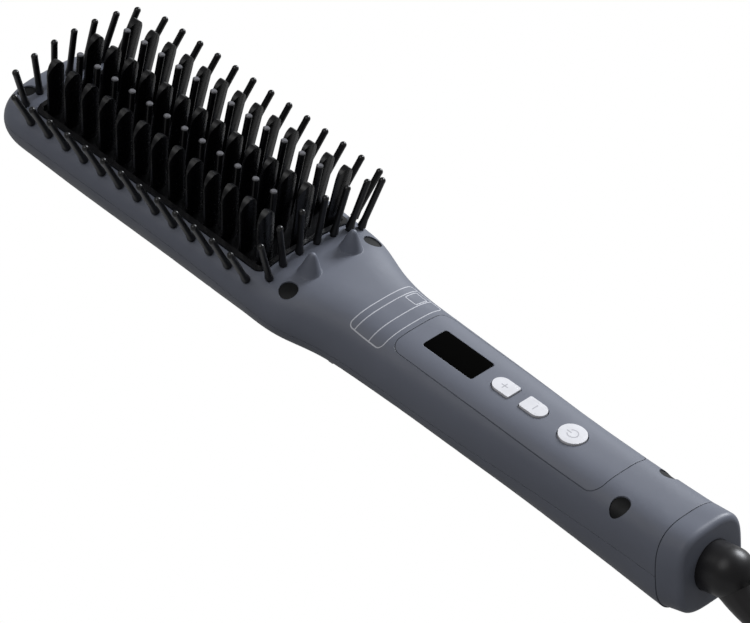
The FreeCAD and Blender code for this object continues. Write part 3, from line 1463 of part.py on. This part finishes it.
for side in (-1, 1):
    plug_blades.append(Part.makeBox(
        size("plug_blade_length") + size("plug_blade_root"), size("plug_blade_thickness"),
        size("plug_blade_width"),
        Vector(blade_start, side * size("plug_blade_pitch") / 2 - size("plug_blade_thickness") / 2,
               -size("plug_blade_width") / 2)))
blades_shape = Part.makeCompound(plug_blades)
body_shape = shell.fuse(sleeve).cut(blades_shape)
body_shape.Placement = plug_frame.multiply(body_shape.Placement)
blades_shape.Placement = plug_frame.multiply(blades_shape.Placement)
feature("plug_body", body_shape)
feature("plug_blades", blades_shape)

# ---------------------------------------------------------------- check and export

NODES = (
    "front_housing", "rear_housing", "heater_bezel", "heater_plate", "blade_teeth", "heated_pins",
    "guard_bristles", "insulation_films", "electrode_strips", "ptc_elements", "heater_clamp",
    "heater_screws", "heat_shield", "shield_screws", "thermistor", "thermal_fuse", "heater_wires",
    "sensor_wires", "control_panel", "display_window", "display_module", "plus_button",
    "minus_button", "power_button", "control_board", "control_chip", "tact_switches",
    "plus_switch_stem", "minus_switch_stem", "power_switch_stem", "board_screws", "board_connector",
    "power_board", "triac", "filter_capacitor", "mains_fuse", "terminal_block", "housing_screws",
    "screw_plugs", "tail_cap", "swivel_retainer", "contact_brushes", "contact_rings", "swivel_hub",
    "cord_strain_relief", "mains_wires", "power_cord", "cord_coil", "plug_lead", "plug_body",
    "plug_blades",
)

doc.recompute()
for thing in doc.Objects:
    if "Invalid" in thing.State or "Error" in thing.State:
        raise RuntimeError(f"{thing.Name}: {thing.State}")
os.makedirs("parts", exist_ok=True)
for node in NODES:
    thing = doc.getObject(node)
    thing.Label = node
    if thing.Shape.isNull() or not thing.Shape.isValid() or not thing.Shape.Solids:
        raise RuntimeError(f"{node} has no valid solid")
    thing.Shape.exportStep(f"parts/{node}.step")
    print(f"{node}: {len(thing.Shape.Solids)} solids, {thing.Shape.Volume:.1f} mm3")
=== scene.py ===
"""Looks of the heated hair straightening brush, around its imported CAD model. Metres, +Z up."""
import math

import bpy
from mathutils import Matrix, Vector
from mathutils.bvhtree import BVHTree


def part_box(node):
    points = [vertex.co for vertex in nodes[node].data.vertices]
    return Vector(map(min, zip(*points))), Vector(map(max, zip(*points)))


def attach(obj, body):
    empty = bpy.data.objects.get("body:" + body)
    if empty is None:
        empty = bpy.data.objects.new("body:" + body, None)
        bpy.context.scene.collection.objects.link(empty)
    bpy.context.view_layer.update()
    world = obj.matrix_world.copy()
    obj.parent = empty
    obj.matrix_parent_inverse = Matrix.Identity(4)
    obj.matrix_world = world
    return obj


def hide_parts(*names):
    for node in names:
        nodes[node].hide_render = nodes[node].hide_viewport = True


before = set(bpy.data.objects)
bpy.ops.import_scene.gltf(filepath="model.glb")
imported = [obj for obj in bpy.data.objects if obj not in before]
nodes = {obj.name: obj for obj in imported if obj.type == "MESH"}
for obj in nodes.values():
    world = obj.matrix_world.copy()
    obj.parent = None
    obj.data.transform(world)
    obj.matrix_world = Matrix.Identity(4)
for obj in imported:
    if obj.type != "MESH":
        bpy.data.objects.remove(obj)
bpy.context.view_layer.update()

MM = 0.001
SMOOTH_ANGLE = math.radians(28)
WELD_DISTANCE = 1e-6

# ---------------------------------------------------------------- camera

CAMERA_AT = Vector((0.764408, -1.011372, 1.069074))
CAMERA_RIGHT = Vector((0.7199812, 0.6816649, 0.1302309))
CAMERA_UP = Vector((-0.5140311, 0.3977303, 0.7599886))
CAMERA_BACK = Vector((0.4662608, -0.6141202, 0.6367553))
LENS = 263.9


def add_camera():
    data = bpy.data.cameras.new("camera")
    data.lens = LENS
    data.sensor_width = 36
    data.clip_start = 0.05
    data.clip_end = 20
    camera = bpy.data.objects.new("camera", data)
    turn = Matrix((CAMERA_RIGHT, CAMERA_UP, CAMERA_BACK)).transposed().to_4x4()
    camera.matrix_world = Matrix.Translation(CAMERA_AT) @ turn
    bpy.context.scene.collection.objects.link(camera)
    bpy.context.scene.camera = camera


add_camera()

# ---------------------------------------------------------------- mains cord

# Points and sizes in millimetres. The curve itself is built in metres.
CORD = 6.5
TOP_LAYER = 1.5 * CORD
LOW_LAYER = 0.5 * CORD
COIL_MIDDLE = Vector((252.005, 0, 0))
COIL_COLUMNS = 4
COIL_OUTER = 45.75
COIL_START = math.radians(-135)
POINTS_PER_TURN = 16
POINTS_IN_LAST_TURN = POINTS_PER_TURN * 5 // 8
HALF_SPACING = COIL_OUTER * math.tan(math.pi / POINTS_PER_TURN)
OUTER_STEP_SHARE = 0.3
STEP_SHARE_PER_COLUMN = 0.1
LAYER_DIP = 2.0


def eased(part):
    """Goes from 0 to 1 with a level start and end."""
    part = min(max(part, 0.0), 1.0)
    return part * part * (3 - 2 * part)


def coil_points():
    """Turns that go inwards on the top layer and back outwards on the lower one, anticlockwise.

    Each turn keeps its place at first, and steps to the next one in its last share.
    """
    turns = 2 * COIL_COLUMNS
    column = [min(turn, turns - 1 - turn) for turn in range(turns)]
    radius = [COIL_OUTER - place * CORD for place in column]
    height = [TOP_LAYER if turn < COIL_COLUMNS else LOW_LAYER for turn in range(turns)]
    spread = 1 / math.cos(math.pi / POINTS_PER_TURN)
    points = []
    for k in range((turns - 1) * POINTS_PER_TURN + POINTS_IN_LAST_TURN):
        turn = k // POINTS_PER_TURN
        after = min(turn + 1, turns - 1)
        step_share = OUTER_STEP_SHARE + STEP_SHARE_PER_COLUMN * column[turn]
        part = eased(1 - (1 - (k % POINTS_PER_TURN + 0.5) / POINTS_PER_TURN) / step_share)
        reach = radius[turn] + (radius[after] - radius[turn]) * part
        rise = height[turn] + (height[after] - height[turn]) * part
        if height[after] != height[turn]:
            reach -= LAYER_DIP * math.sin(math.pi * part)
        angle = COIL_START + 2 * math.pi * (k + 0.5) / POINTS_PER_TURN
        away = Vector((math.cos(angle), math.sin(angle), 0)) * reach * spread
        points.append(COIL_MIDDLE + away + Vector((0, 0, rise)))
    return points


RELIEF_END = Vector((157.333, -1.087, 9.663))
cord_points = [
    RELIEF_END,
    Vector((178.686, -2.206, 7.416)),
    Vector((200.505, -13.2, 8.0)),
    Vector((219.655, -32.35, TOP_LAYER)) + Vector((-1, 1, 0)).normalized() * HALF_SPACING,
    *coil_points(),
    Vector((252.005 - HALF_SPACING, COIL_OUTER, LOW_LAYER)),
    Vector((228.005, COIL_OUTER, LOW_LAYER)),
    Vector((205.005, COIL_OUTER - 7, 6.0)),
]


def add_cord():
    curve = bpy.data.curves.new("mains_cord", "CURVE")
    curve.dimensions = "3D"
    line = curve.splines.new("NURBS")
    line.points.add(len(cord_points) - 1)
    for point, place in zip(line.points, cord_points):
        point.co = (*(place * MM), 1)
        point.radius = CORD / 2 * MM
    line.order_u = 3
    line.use_endpoint_u = True
    line.resolution_u = 6
    curve.bevel_depth = 1.0
    curve.bevel_resolution = 5
    curve.use_fill_caps = True
    cord = bpy.data.objects.new("mains_cord", curve)
    bpy.context.scene.collection.objects.link(cord)
    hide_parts("power_cord", "cord_coil", "plug_lead")
    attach(cord, "cord_swivel_body")
    return cord


cord = add_cord()

# ---------------------------------------------------------------- node material helpers


class Finish:
    """A procedural material around one Principled shader, in metres of the object's own space."""

    def __init__(self, name, color, roughness, **sockets):
        self.material = bpy.data.materials.new(name)
        self.material.use_nodes = True
        self.tree = self.material.node_tree
        self.shader = self.tree.nodes["Principled BSDF"]
        self.color = color
        self.shader.inputs["Base Color"].default_value = (*color, 1)
        self.shader.inputs["Roughness"].default_value = roughness
        for socket, value in sockets.items():
            self.shader.inputs[socket.replace("_", " ")].default_value = value
        self.place = self.tree.nodes.new("ShaderNodeTexCoord").outputs["Object"]
        self.normal = None

    def link(self, source, target):
        self.tree.links.new(source, target)

    def noise(self, size_mm, detail=3.0, stretch=None, roughness=0.55):
        """A noise whose features are about that many millimetres across."""
        place = self.place
        if stretch:
            mapping = self.tree.nodes.new("ShaderNodeMapping")
            mapping.inputs["Scale"].default_value = stretch
            self.link(place, mapping.inputs["Vector"])
            place = mapping.outputs["Vector"]
        texture = self.tree.nodes.new("ShaderNodeTexNoise")
        texture.inputs["Scale"].default_value = 1 / (size_mm * MM)
        texture.inputs["Detail"].default_value = detail
        texture.inputs["Roughness"].default_value = roughness
        self.link(place, texture.inputs["Vector"])
        return texture.outputs["Fac"]

    def spread(self, source, low, high):
        """Spreads a noise from low to high."""
        ramp = self.tree.nodes.new("ShaderNodeMapRange")
        ramp.inputs["From Min"].default_value = 0.25
        ramp.inputs["From Max"].default_value = 0.75
        ramp.inputs["To Min"].default_value = low
        ramp.inputs["To Max"].default_value = high
        self.link(source, ramp.inputs["Value"])
        return ramp.outputs["Result"]

    def mottle(self, size_mm, amount, **options):
        """Varies the colour's brightness by a share, up and down."""
        share = self.spread(self.noise(size_mm, **options), 1 - amount, 1 + amount)
        scale = self.tree.nodes.new("ShaderNodeVectorMath")
        scale.operation = "SCALE"
        scale.inputs[0].default_value = self.color
        self.link(share, scale.inputs["Scale"])
        self.link(scale.outputs["Vector"], self.shader.inputs["Base Color"])
        return self

    def polish(self, size_mm, low, high, **options):
        """Varies the roughness."""
        self.link(self.spread(self.noise(size_mm, **options), low, high), self.shader.inputs["Roughness"])
        return self

    def soften(self, radius_mm):
        """Shades sharp edges as if they were rounded by that radius."""
        bevel = self.tree.nodes.new("ShaderNodeBevel")
        bevel.samples = 6
        bevel.inputs["Radius"].default_value = radius_mm * MM
        self.normal = bevel.outputs["Normal"]
        return self

    def grain(self, size_mm, depth_mm, strength=1.0, **options):
        """Adds a bump of that depth on top of what is there."""
        bump = self.tree.nodes.new("ShaderNodeBump")
        bump.inputs["Strength"].default_value = strength
        bump.inputs["Distance"].default_value = depth_mm * MM
        self.link(self.noise(size_mm, **options), bump.inputs["Height"])
        if self.normal:
            self.link(self.normal, bump.inputs["Normal"])
        self.normal = bump.outputs["Normal"]
        self.link(self.normal, self.shader.inputs["Normal"])
        return self


# ---------------------------------------------------------------- finishes

SLATE = (0.150, 0.163, 0.205)
PANEL_SLATE = (0.158, 0.171, 0.214)
EDGE_ROUNDING = 0.35

# The painted highlight on the pin tops, in millimetres below the top, and the Mix node's colour sockets.
TOP_HIGHLIGHT_STARTS_BELOW_TOP = 0.75
TOP_HIGHLIGHT_IS_FULL_BELOW_TOP = 0.1
PAINTED_HIGHLIGHT_COLOR = (0.16, 0.16, 0.175)
MIX_FACTOR, COLOR_A, COLOR_B, COLOR_RESULT = 0, 6, 7, 2


def soft_touch(name, color):
    """Matte rubbery paint: a fine even grain, faint mottling and slightly polished patches."""
    finish = Finish(name, color, 0.5, Specular_IOR_Level=0.42, Sheen_Weight=0.05, Sheen_Roughness=0.45)
    finish.mottle(9, 0.025).polish(14, 0.44, 0.54).soften(EDGE_ROUNDING)
    return finish.grain(0.22, 0.004, 0.35).grain(2.5, 0.006, 0.25)


def satin_plastic(name, color, roughness, grain_mm=0.3, **sockets):
    """Moulded plastic with a light spark grain."""
    finish = Finish(name, color, roughness, **sockets)
    finish.mottle(4, 0.06).polish(5, roughness - 0.05, roughness + 0.06)
    return finish.grain(grain_mm, 0.004, 0.4)


def brushed(name, color, roughness, stretch=(0.06, 1, 1)):
    """Drawn or rolled metal, with fine lines along X unless stretched another way."""
    finish = Finish(name, color, roughness, Metallic=1.0)
    finish.mottle(6, 0.05).polish(0.5, roughness - 0.08, roughness + 0.08, stretch=stretch)
    return finish.grain(0.25, 0.003, 0.5, stretch=stretch)


def coated_teeth():
    """Black ceramic coat: satin, with a little orange peel."""
    finish = Finish("teeth_coat", (0.003, 0.003, 0.004), 0.26, Specular_IOR_Level=0.42)
    finish.mottle(3, 0.15).polish(4, 0.22, 0.32)
    return finish.grain(0.5, 0.006, 0.4)


def pins_with_painted_tops():
    """The same coat, with a painted highlight: pale grey on the flat tops of the round pins."""
    finish = Finish("pin_coat", (0.0035, 0.0035, 0.0045), 0.28, Specular_IOR_Level=0.42)
    finish.mottle(3, 0.15).polish(4, 0.24, 0.34)
    tree = finish.tree
    # Painted highlight: the top 0.75 mm of the pins is mixed to pale grey, standing in for light
    # reflected off the flat tops.
    split = tree.nodes.new("ShaderNodeSeparateXYZ")
    tree.links.new(finish.place, split.inputs["Vector"])
    top = tree.nodes.new("ShaderNodeMapRange")
    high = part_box("heated_pins")[1].z
    top.inputs["From Min"].default_value = high - TOP_HIGHLIGHT_STARTS_BELOW_TOP * MM
    top.inputs["From Max"].default_value = high - TOP_HIGHLIGHT_IS_FULL_BELOW_TOP * MM
    tree.links.new(split.outputs["Z"], top.inputs["Value"])
    painted_highlight = tree.nodes.new("ShaderNodeMix")
    painted_highlight.data_type = "RGBA"
    painted_highlight.inputs[COLOR_B].default_value = (*PAINTED_HIGHLIGHT_COLOR, 1)
    tree.links.new(top.outputs["Result"], painted_highlight.inputs[MIX_FACTOR])
    coat = finish.shader.inputs["Base Color"].links[0].from_socket
    tree.links.new(coat, painted_highlight.inputs[COLOR_A])
    tree.links.new(painted_highlight.outputs[COLOR_RESULT], finish.shader.inputs["Base Color"])
    return finish.grain(0.5, 0.006, 0.4)


def solder_mask():
    """Green board lacquer with the faint relief of its tracks."""
    finish = Finish("solder_mask", (0.02, 0.13, 0.05), 0.3)
    finish.mottle(1.6, 0.25, stretch=(0.25, 1, 1)).polish(3, 0.24, 0.36)
    return finish.grain(0.8, 0.02, 0.5, stretch=(0.2, 1, 1))


def clear_glass():
    finish = Finish("fuse_glass", (0.9, 0.93, 0.92), 0.03, Transmission_Weight=0.9, IOR=1.47)
    return finish.mottle(2, 0.04).grain(3, 0.003, 0.2)


FINISHES = {
    "shell": soft_touch("shell_paint", SLATE),
    "panel": soft_touch("panel_paint", PANEL_SLATE),
    "frame": satin_plastic("black_frame", (0.006, 0.006, 0.007), 0.28),
    "teeth": coated_teeth(),
    "pins": pins_with_painted_tops(),
    "plate": brushed("anodised_plate", (0.008, 0.008, 0.009), 0.42),
    "bristle": satin_plastic("bristle_nylon", (0.006, 0.006, 0.007), 0.3, 0.4),
    "film": satin_plastic("polyimide_film", (0.48, 0.2, 0.03), 0.28),
    "strip": brushed("aluminium_strip", (0.72, 0.72, 0.74), 0.3),
    "ceramic": satin_plastic("ceramic", (0.55, 0.53, 0.5), 0.6, 0.15),
    "steel": brushed("plain_steel", (0.55, 0.55, 0.57), 0.34),
    "zinc": brushed("zinc_plate", (0.6, 0.6, 0.57), 0.38, (1, 1, 1)),
    "button": satin_plastic("satin_button", (0.88, 0.88, 0.92), 0.36, 0.22, Metallic=0.05),
    "window": Finish("window", (0.001, 0.001, 0.001), 0.08, Specular_IOR_Level=0.04).mottle(5, 0.1)
    .polish(8, 0.05, 0.09),
    "lcd": Finish("lcd_module", (0.05, 0.06, 0.05), 0.12).mottle(3, 0.1).polish(3, 0.1, 0.18),
    "board": solder_mask(),
    "chip": satin_plastic("chip_mould", (0.02, 0.02, 0.02), 0.5, 0.12),
    "stem": satin_plastic("switch_stem", (0.35, 0.03, 0.025), 0.4),
    "capacitor": satin_plastic("cast_capacitor", (0.5, 0.33, 0.03), 0.32),
    "glass": clear_glass(),
    "terminal": satin_plastic("terminal_green", (0.03, 0.22, 0.07), 0.4),
    "plug_cap": satin_plastic("plug_cap", (0.004, 0.0045, 0.005), 0.45, Specular_IOR_Level=0.2),
    "brass": brushed("brass", (0.72, 0.5, 0.2), 0.3),
    "red_wire": satin_plastic("silicone_red", (0.4, 0.02, 0.02), 0.45),
    "pale_wire": satin_plastic("sleeve_pale", (0.6, 0.57, 0.48), 0.5),
    "cord": Finish("cord_jacket", (0.017, 0.0155, 0.017), 0.36).mottle(5, 0.12).polish(6, 0.3, 0.42)
    .grain(0.5, 0.008, 0.4),
    "hub": satin_plastic("hub_plastic", (0.012, 0.0115, 0.013), 0.38, Specular_IOR_Level=0.4),
    "nickel": brushed("nickel_plate", (0.68, 0.65, 0.58), 0.2, (1, 1, 1)),
    "print": satin_plastic("pale_print", (0.58, 0.59, 0.64), 0.5),
    "icon": satin_plastic("grey_print", (0.56, 0.56, 0.6), 0.45),
}

NODE_FINISH = {
    "front_housing": "shell", "rear_housing": "shell", "tail_cap": "shell", "control_panel": "panel",
    "heater_bezel": "frame", "heater_plate": "plate", "blade_teeth": "teeth", "heated_pins": "pins",
    "guard_bristles": "bristle", "insulation_films": "film", "electrode_strips": "strip",
    "ptc_elements": "ceramic", "heater_clamp": "steel", "heater_screws": "zinc", "heat_shield": "steel",
    "shield_screws": "zinc", "thermistor": "ceramic", "thermal_fuse": "steel", "heater_wires": "red_wire",
    "sensor_wires": "pale_wire", "display_window": "window", "display_module": "lcd",
    "plus_button": "button", "minus_button": "button", "power_button": "button",
    "control_board": "board", "control_chip": "chip", "tact_switches": "chip",
    "plus_switch_stem": "stem", "minus_switch_stem": "stem", "power_switch_stem": "stem",
    "board_screws": "zinc", "board_connector": "chip", "power_board": "board", "triac": "chip",
    "filter_capacitor": "capacitor", "mains_fuse": "glass", "terminal_block": "terminal",
    "housing_screws": "zinc", "screw_plugs": "plug_cap", "swivel_retainer": "frame",
    "contact_brushes": "brass", "contact_rings": "brass", "swivel_hub": "hub",
    "cord_strain_relief": "cord", "mains_wires": "red_wire", "plug_body": "cord", "plug_blades": "nickel",
}


def dress(thing, finish):
    thing.data.materials.clear()
    thing.data.materials.append(FINISHES[finish].material)


def smooth(thing):
    """Rounds the shading inside each face and keeps the real edges sharp."""
    mesh = thing.data
    if "custom_normal" in mesh.attributes:
        mesh.attributes.remove(mesh.attributes["custom_normal"])
    mesh.polygons.foreach_set("use_smooth", [True] * len(mesh.polygons))
    weld = thing.modifiers.new("weld", "WELD")
    weld.merge_threshold = WELD_DISTANCE
    edges = thing.modifiers.new("edges", "EDGE_SPLIT")
    edges.split_angle = SMOOTH_ANGLE


for name, finish in NODE_FINISH.items():
    dress(nodes[name], finish)
    smooth(nodes[name])
dress(cord, "cord")

# ---------------------------------------------------------------- prints that lie on the surface

PRINT_LIFT = 0.03
PRINT_DEPTH = 0.08
PRINT_STEP = 0.4
ABOVE_THE_PART = 100


def surface_of(node):
    mesh = nodes[node].data
    return BVHTree.FromPolygons([v.co for v in mesh.vertices], [p.vertices for p in mesh.polygons])


def along(points, closed):
    """The same line with a point at least every print step."""
    ends = points[1:] + points[:1] if closed else points[1:]
    line = []
    for start, end in zip(points, ends):
        count = max(1, round((end - start).length / PRINT_STEP))
        line += [start.lerp(end, i / count) for i in range(count)]
    return line if closed else line + [points[-1]]


def stroke(mesh, surface, points, width, closed):
    """Adds a band of that width, in millimetres, dropped onto the surface from above."""
    line = along(points, closed)
    total = len(line)
    pairs = []
    for i, point in enumerate(line):
        before = line[(i - 1) % total] if closed or i else line[i]
        after = line[(i + 1) % total] if closed or i < total - 1 else line[i]
        side = (after - before).orthogonal().normalized() * width / 2
        pair = []
        for edge in (point + side, point - side):
            start = Vector((edge.x, edge.y, ABOVE_THE_PART)) * MM
            hit, normal, _, _ = surface.ray_cast(start, Vector((0, 0, -1)))
            pair.append(hit + normal * PRINT_LIFT * MM)
        pairs.append(pair)
    first = len(mesh[0])
    mesh[0].extend(place for pair in pairs for place in pair)
    for i in range(total if closed else total - 1):
        left, right = first + 2 * i, first + 2 * ((i + 1) % total)
        mesh[1].append((left, left + 1, right + 1, right))


def add_print(name, strokes, node, body, finish):
    """One printed mark made of strokes, each with its points, its width and whether it closes."""
    mesh = ([], [])
    surface = surface_of(node)
    for points, width, closed in strokes:
        stroke(mesh, surface, [Vector(point) for point in points], width, closed)
    data = bpy.data.meshes.new(name)
    data.from_pydata(mesh[0], [], mesh[1])
    thing = bpy.data.objects.new(name, data)
    bpy.context.scene.collection.objects.link(thing)
    solid = thing.modifiers.new("depth", "SOLIDIFY")
    solid.thickness = PRINT_DEPTH * MM
    solid.offset = -1
    dress(thing, finish)
    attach(thing, body)
    return thing


def arc(middle, radius, start, end, count):
    turns = [math.radians(start + (end - start) * i / count) for i in range(count + 1)]
    return [(middle[0] + radius * math.cos(turn), middle[1] + radius * math.sin(turn)) for turn in turns]


def rounded(low, high, radius):
    """A rectangle with round corners, between its low and high corners."""
    corners = [((high[0] - radius, high[1] - radius), 0), ((low[0] + radius, high[1] - radius), 90),
               ((low[0] + radius, low[1] + radius), 180), ((high[0] - radius, low[1] + radius), 270)]
    return [point for middle, start in corners for point in arc(middle, radius, start, start + 90, 6)]


LABEL_LOW = (-1.5, -14.4)
LABEL_HIGH = (11.5, 13.1)
LABEL_CORNER = 1.6
LABEL_LINE = 0.32
LABEL_HEAD_STRIP = 2.5
LABEL_TAIL_STRIP = 4.6
LABEL_BOX_LOW = (1.8, 6.6)
LABEL_BOX_HIGH = (6.3, 11.7)
LABEL_BOX_CORNER = 0.4
ICON_ARM = 1.25
ICON_LINE = 0.4
POWER_RING = 1.7
POWER_BAR_FROM = 0.5
POWER_BAR_TO = 2.3


def add_label_frame():
    """The empty printed frame on the neck: two dividers and a small box at its far end."""
    head = LABEL_LOW[0] + LABEL_HEAD_STRIP
    tail = LABEL_HIGH[0] - LABEL_TAIL_STRIP
    strokes = [
        (rounded(LABEL_LOW, LABEL_HIGH, LABEL_CORNER), LABEL_LINE, True),
        ([(head, LABEL_LOW[1]), (head, LABEL_HIGH[1])], LABEL_LINE, False),
        ([(tail, LABEL_LOW[1]), (tail, LABEL_HIGH[1])], LABEL_LINE, False),
        (rounded(LABEL_BOX_LOW, LABEL_BOX_HIGH, LABEL_BOX_CORNER), LABEL_LINE, True),
    ]
    add_print("label_frame", strokes, "front_housing", "brush_body", "print")


def middle_of(node):
    low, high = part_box(node)
    return (low + high) / 2 / MM


def add_icons():
    """Faint plus, minus and power marks on the buttons."""
    plus, minus, power = (middle_of(f"{key}_button") for key in ("plus", "minus", "power"))
    level = ([(plus.x - ICON_ARM, plus.y), (plus.x + ICON_ARM, plus.y)], ICON_LINE, False)
    upright = ([(plus.x, plus.y - ICON_ARM), (plus.x, plus.y + ICON_ARM)], ICON_LINE, False)
    add_print("plus_mark", [level, upright], "plus_button", "plus_key", "icon")
    dash = ([(minus.x, minus.y - ICON_ARM), (minus.x, minus.y + ICON_ARM)], ICON_LINE, False)
    add_print("minus_mark", [dash], "minus_button", "minus_key", "icon")
    ring = (arc((power.x, power.y), POWER_RING, 215, 505, 24), ICON_LINE, False)
    bar = ([(power.x - POWER_BAR_FROM, power.y), (power.x - POWER_BAR_TO, power.y)], ICON_LINE, False)
    add_print("power_mark", [ring, bar], "power_button", "power_key", "icon")


add_label_frame()
add_icons()

# ---------------------------------------------------------------- floor and light

FLOOR_REACH = 1.5
FLOOR_GREY = 0.16
FLOOR_GLOSS_SHARE = 0.35
WORLD_STRENGTH = 0.24


def add_floor():
    """A pale floor that is plain white to the camera and through glass, and dimmer in reflections."""
    mesh = bpy.data.meshes.new("floor")
    corners = [(-1, -1), (1, -1), (1, 1), (-1, 1)]
    mesh.from_pydata([(x * FLOOR_REACH, y * FLOOR_REACH, 0) for x, y in corners], [], [(0, 1, 2, 3)])
    floor = bpy.data.objects.new("floor", mesh)
    bpy.context.scene.collection.objects.link(floor)
    material = bpy.data.materials.new("pale_floor")
    material.use_nodes = True
    tree = material.node_tree
    shader = tree.nodes["Principled BSDF"]
    shader.inputs["Base Color"].default_value = (FLOOR_GREY, FLOOR_GREY, FLOOR_GREY, 1)
    shader.inputs["Roughness"].default_value = 0.8
    shader.inputs["Specular IOR Level"].default_value = 0.1
    glow = tree.nodes.new("ShaderNodeEmission")
    glow.inputs["Strength"].default_value = 1.0
    rays = tree.nodes.new("ShaderNodeLightPath")
    seen = tree.nodes.new("ShaderNodeMath")
    seen.operation = "MAXIMUM"
    tree.links.new(rays.outputs["Is Camera Ray"], seen.inputs[0])
    gloss = tree.nodes.new("ShaderNodeMath")
    gloss.operation = "MULTIPLY"
    gloss.inputs[1].default_value = FLOOR_GLOSS_SHARE
    tree.links.new(rays.outputs["Is Glossy Ray"], gloss.inputs[0])
    tree.links.new(gloss.outputs[0], seen.inputs[1])
    clear = tree.nodes.new("ShaderNodeMath")
    clear.operation = "MAXIMUM"
    tree.links.new(seen.outputs[0], clear.inputs[0])
    tree.links.new(rays.outputs["Is Transmission Ray"], clear.inputs[1])
    mix = tree.nodes.new("ShaderNodeMixShader")
    tree.links.new(clear.outputs[0], mix.inputs["Fac"])
    tree.links.new(shader.outputs["BSDF"], mix.inputs[1])
    tree.links.new(glow.outputs["Emission"], mix.inputs[2])
    tree.links.new(mix.outputs["Shader"], tree.nodes["Material Output"].inputs["Surface"])
    mesh.materials.append(material)


def add_lamp(name, place, size, watts, color=(1, 1, 1)):
    """A round lamp that faces the middle of the brush."""
    data = bpy.data.lights.new(name, "AREA")
    data.shape = "DISK"
    data.size = size
    data.energy = watts
    data.color = color
    lamp = bpy.data.objects.new(name, data)
    lamp.location = place
    lamp.rotation_euler = (-Vector(place)).to_track_quat("-Z", "Y").to_euler()
    bpy.context.scene.collection.objects.link(lamp)


def add_world(strength):
    """An even dim light all round, which the camera sees as plain white."""
    world = bpy.data.worlds.new("studio")
    world.use_nodes = True
    tree = world.node_tree
    light = tree.nodes["Background"]
    light.inputs["Color"].default_value = (1, 1, 1, 1)
    light.inputs["Strength"].default_value = strength
    white = tree.nodes.new("ShaderNodeBackground")
    white.inputs["Color"].default_value = (1, 1, 1, 1)
    white.inputs["Strength"].default_value = 1.0
    rays = tree.nodes.new("ShaderNodeLightPath")
    mix = tree.nodes.new("ShaderNodeMixShader")
    tree.links.new(rays.outputs["Is Camera Ray"], mix.inputs["Fac"])
    tree.links.new(light.outputs["Background"], mix.inputs[1])
    tree.links.new(white.outputs["Background"], mix.inputs[2])
    tree.links.new(mix.outputs["Shader"], tree.nodes["World Output"].inputs["Surface"])
    bpy.context.scene.world = world


add_floor()
add_world(WORLD_STRENGTH)
add_lamp("key", place=(-0.1, 1.35, 0.85), size=0.7, watts=26, color=(0.93, 0.96, 1.0))
add_lamp("fill", place=(-0.4, -0.85, 1.45), size=1.2, watts=6.5)

bpy.context.scene.view_settings.view_transform = "Standard"
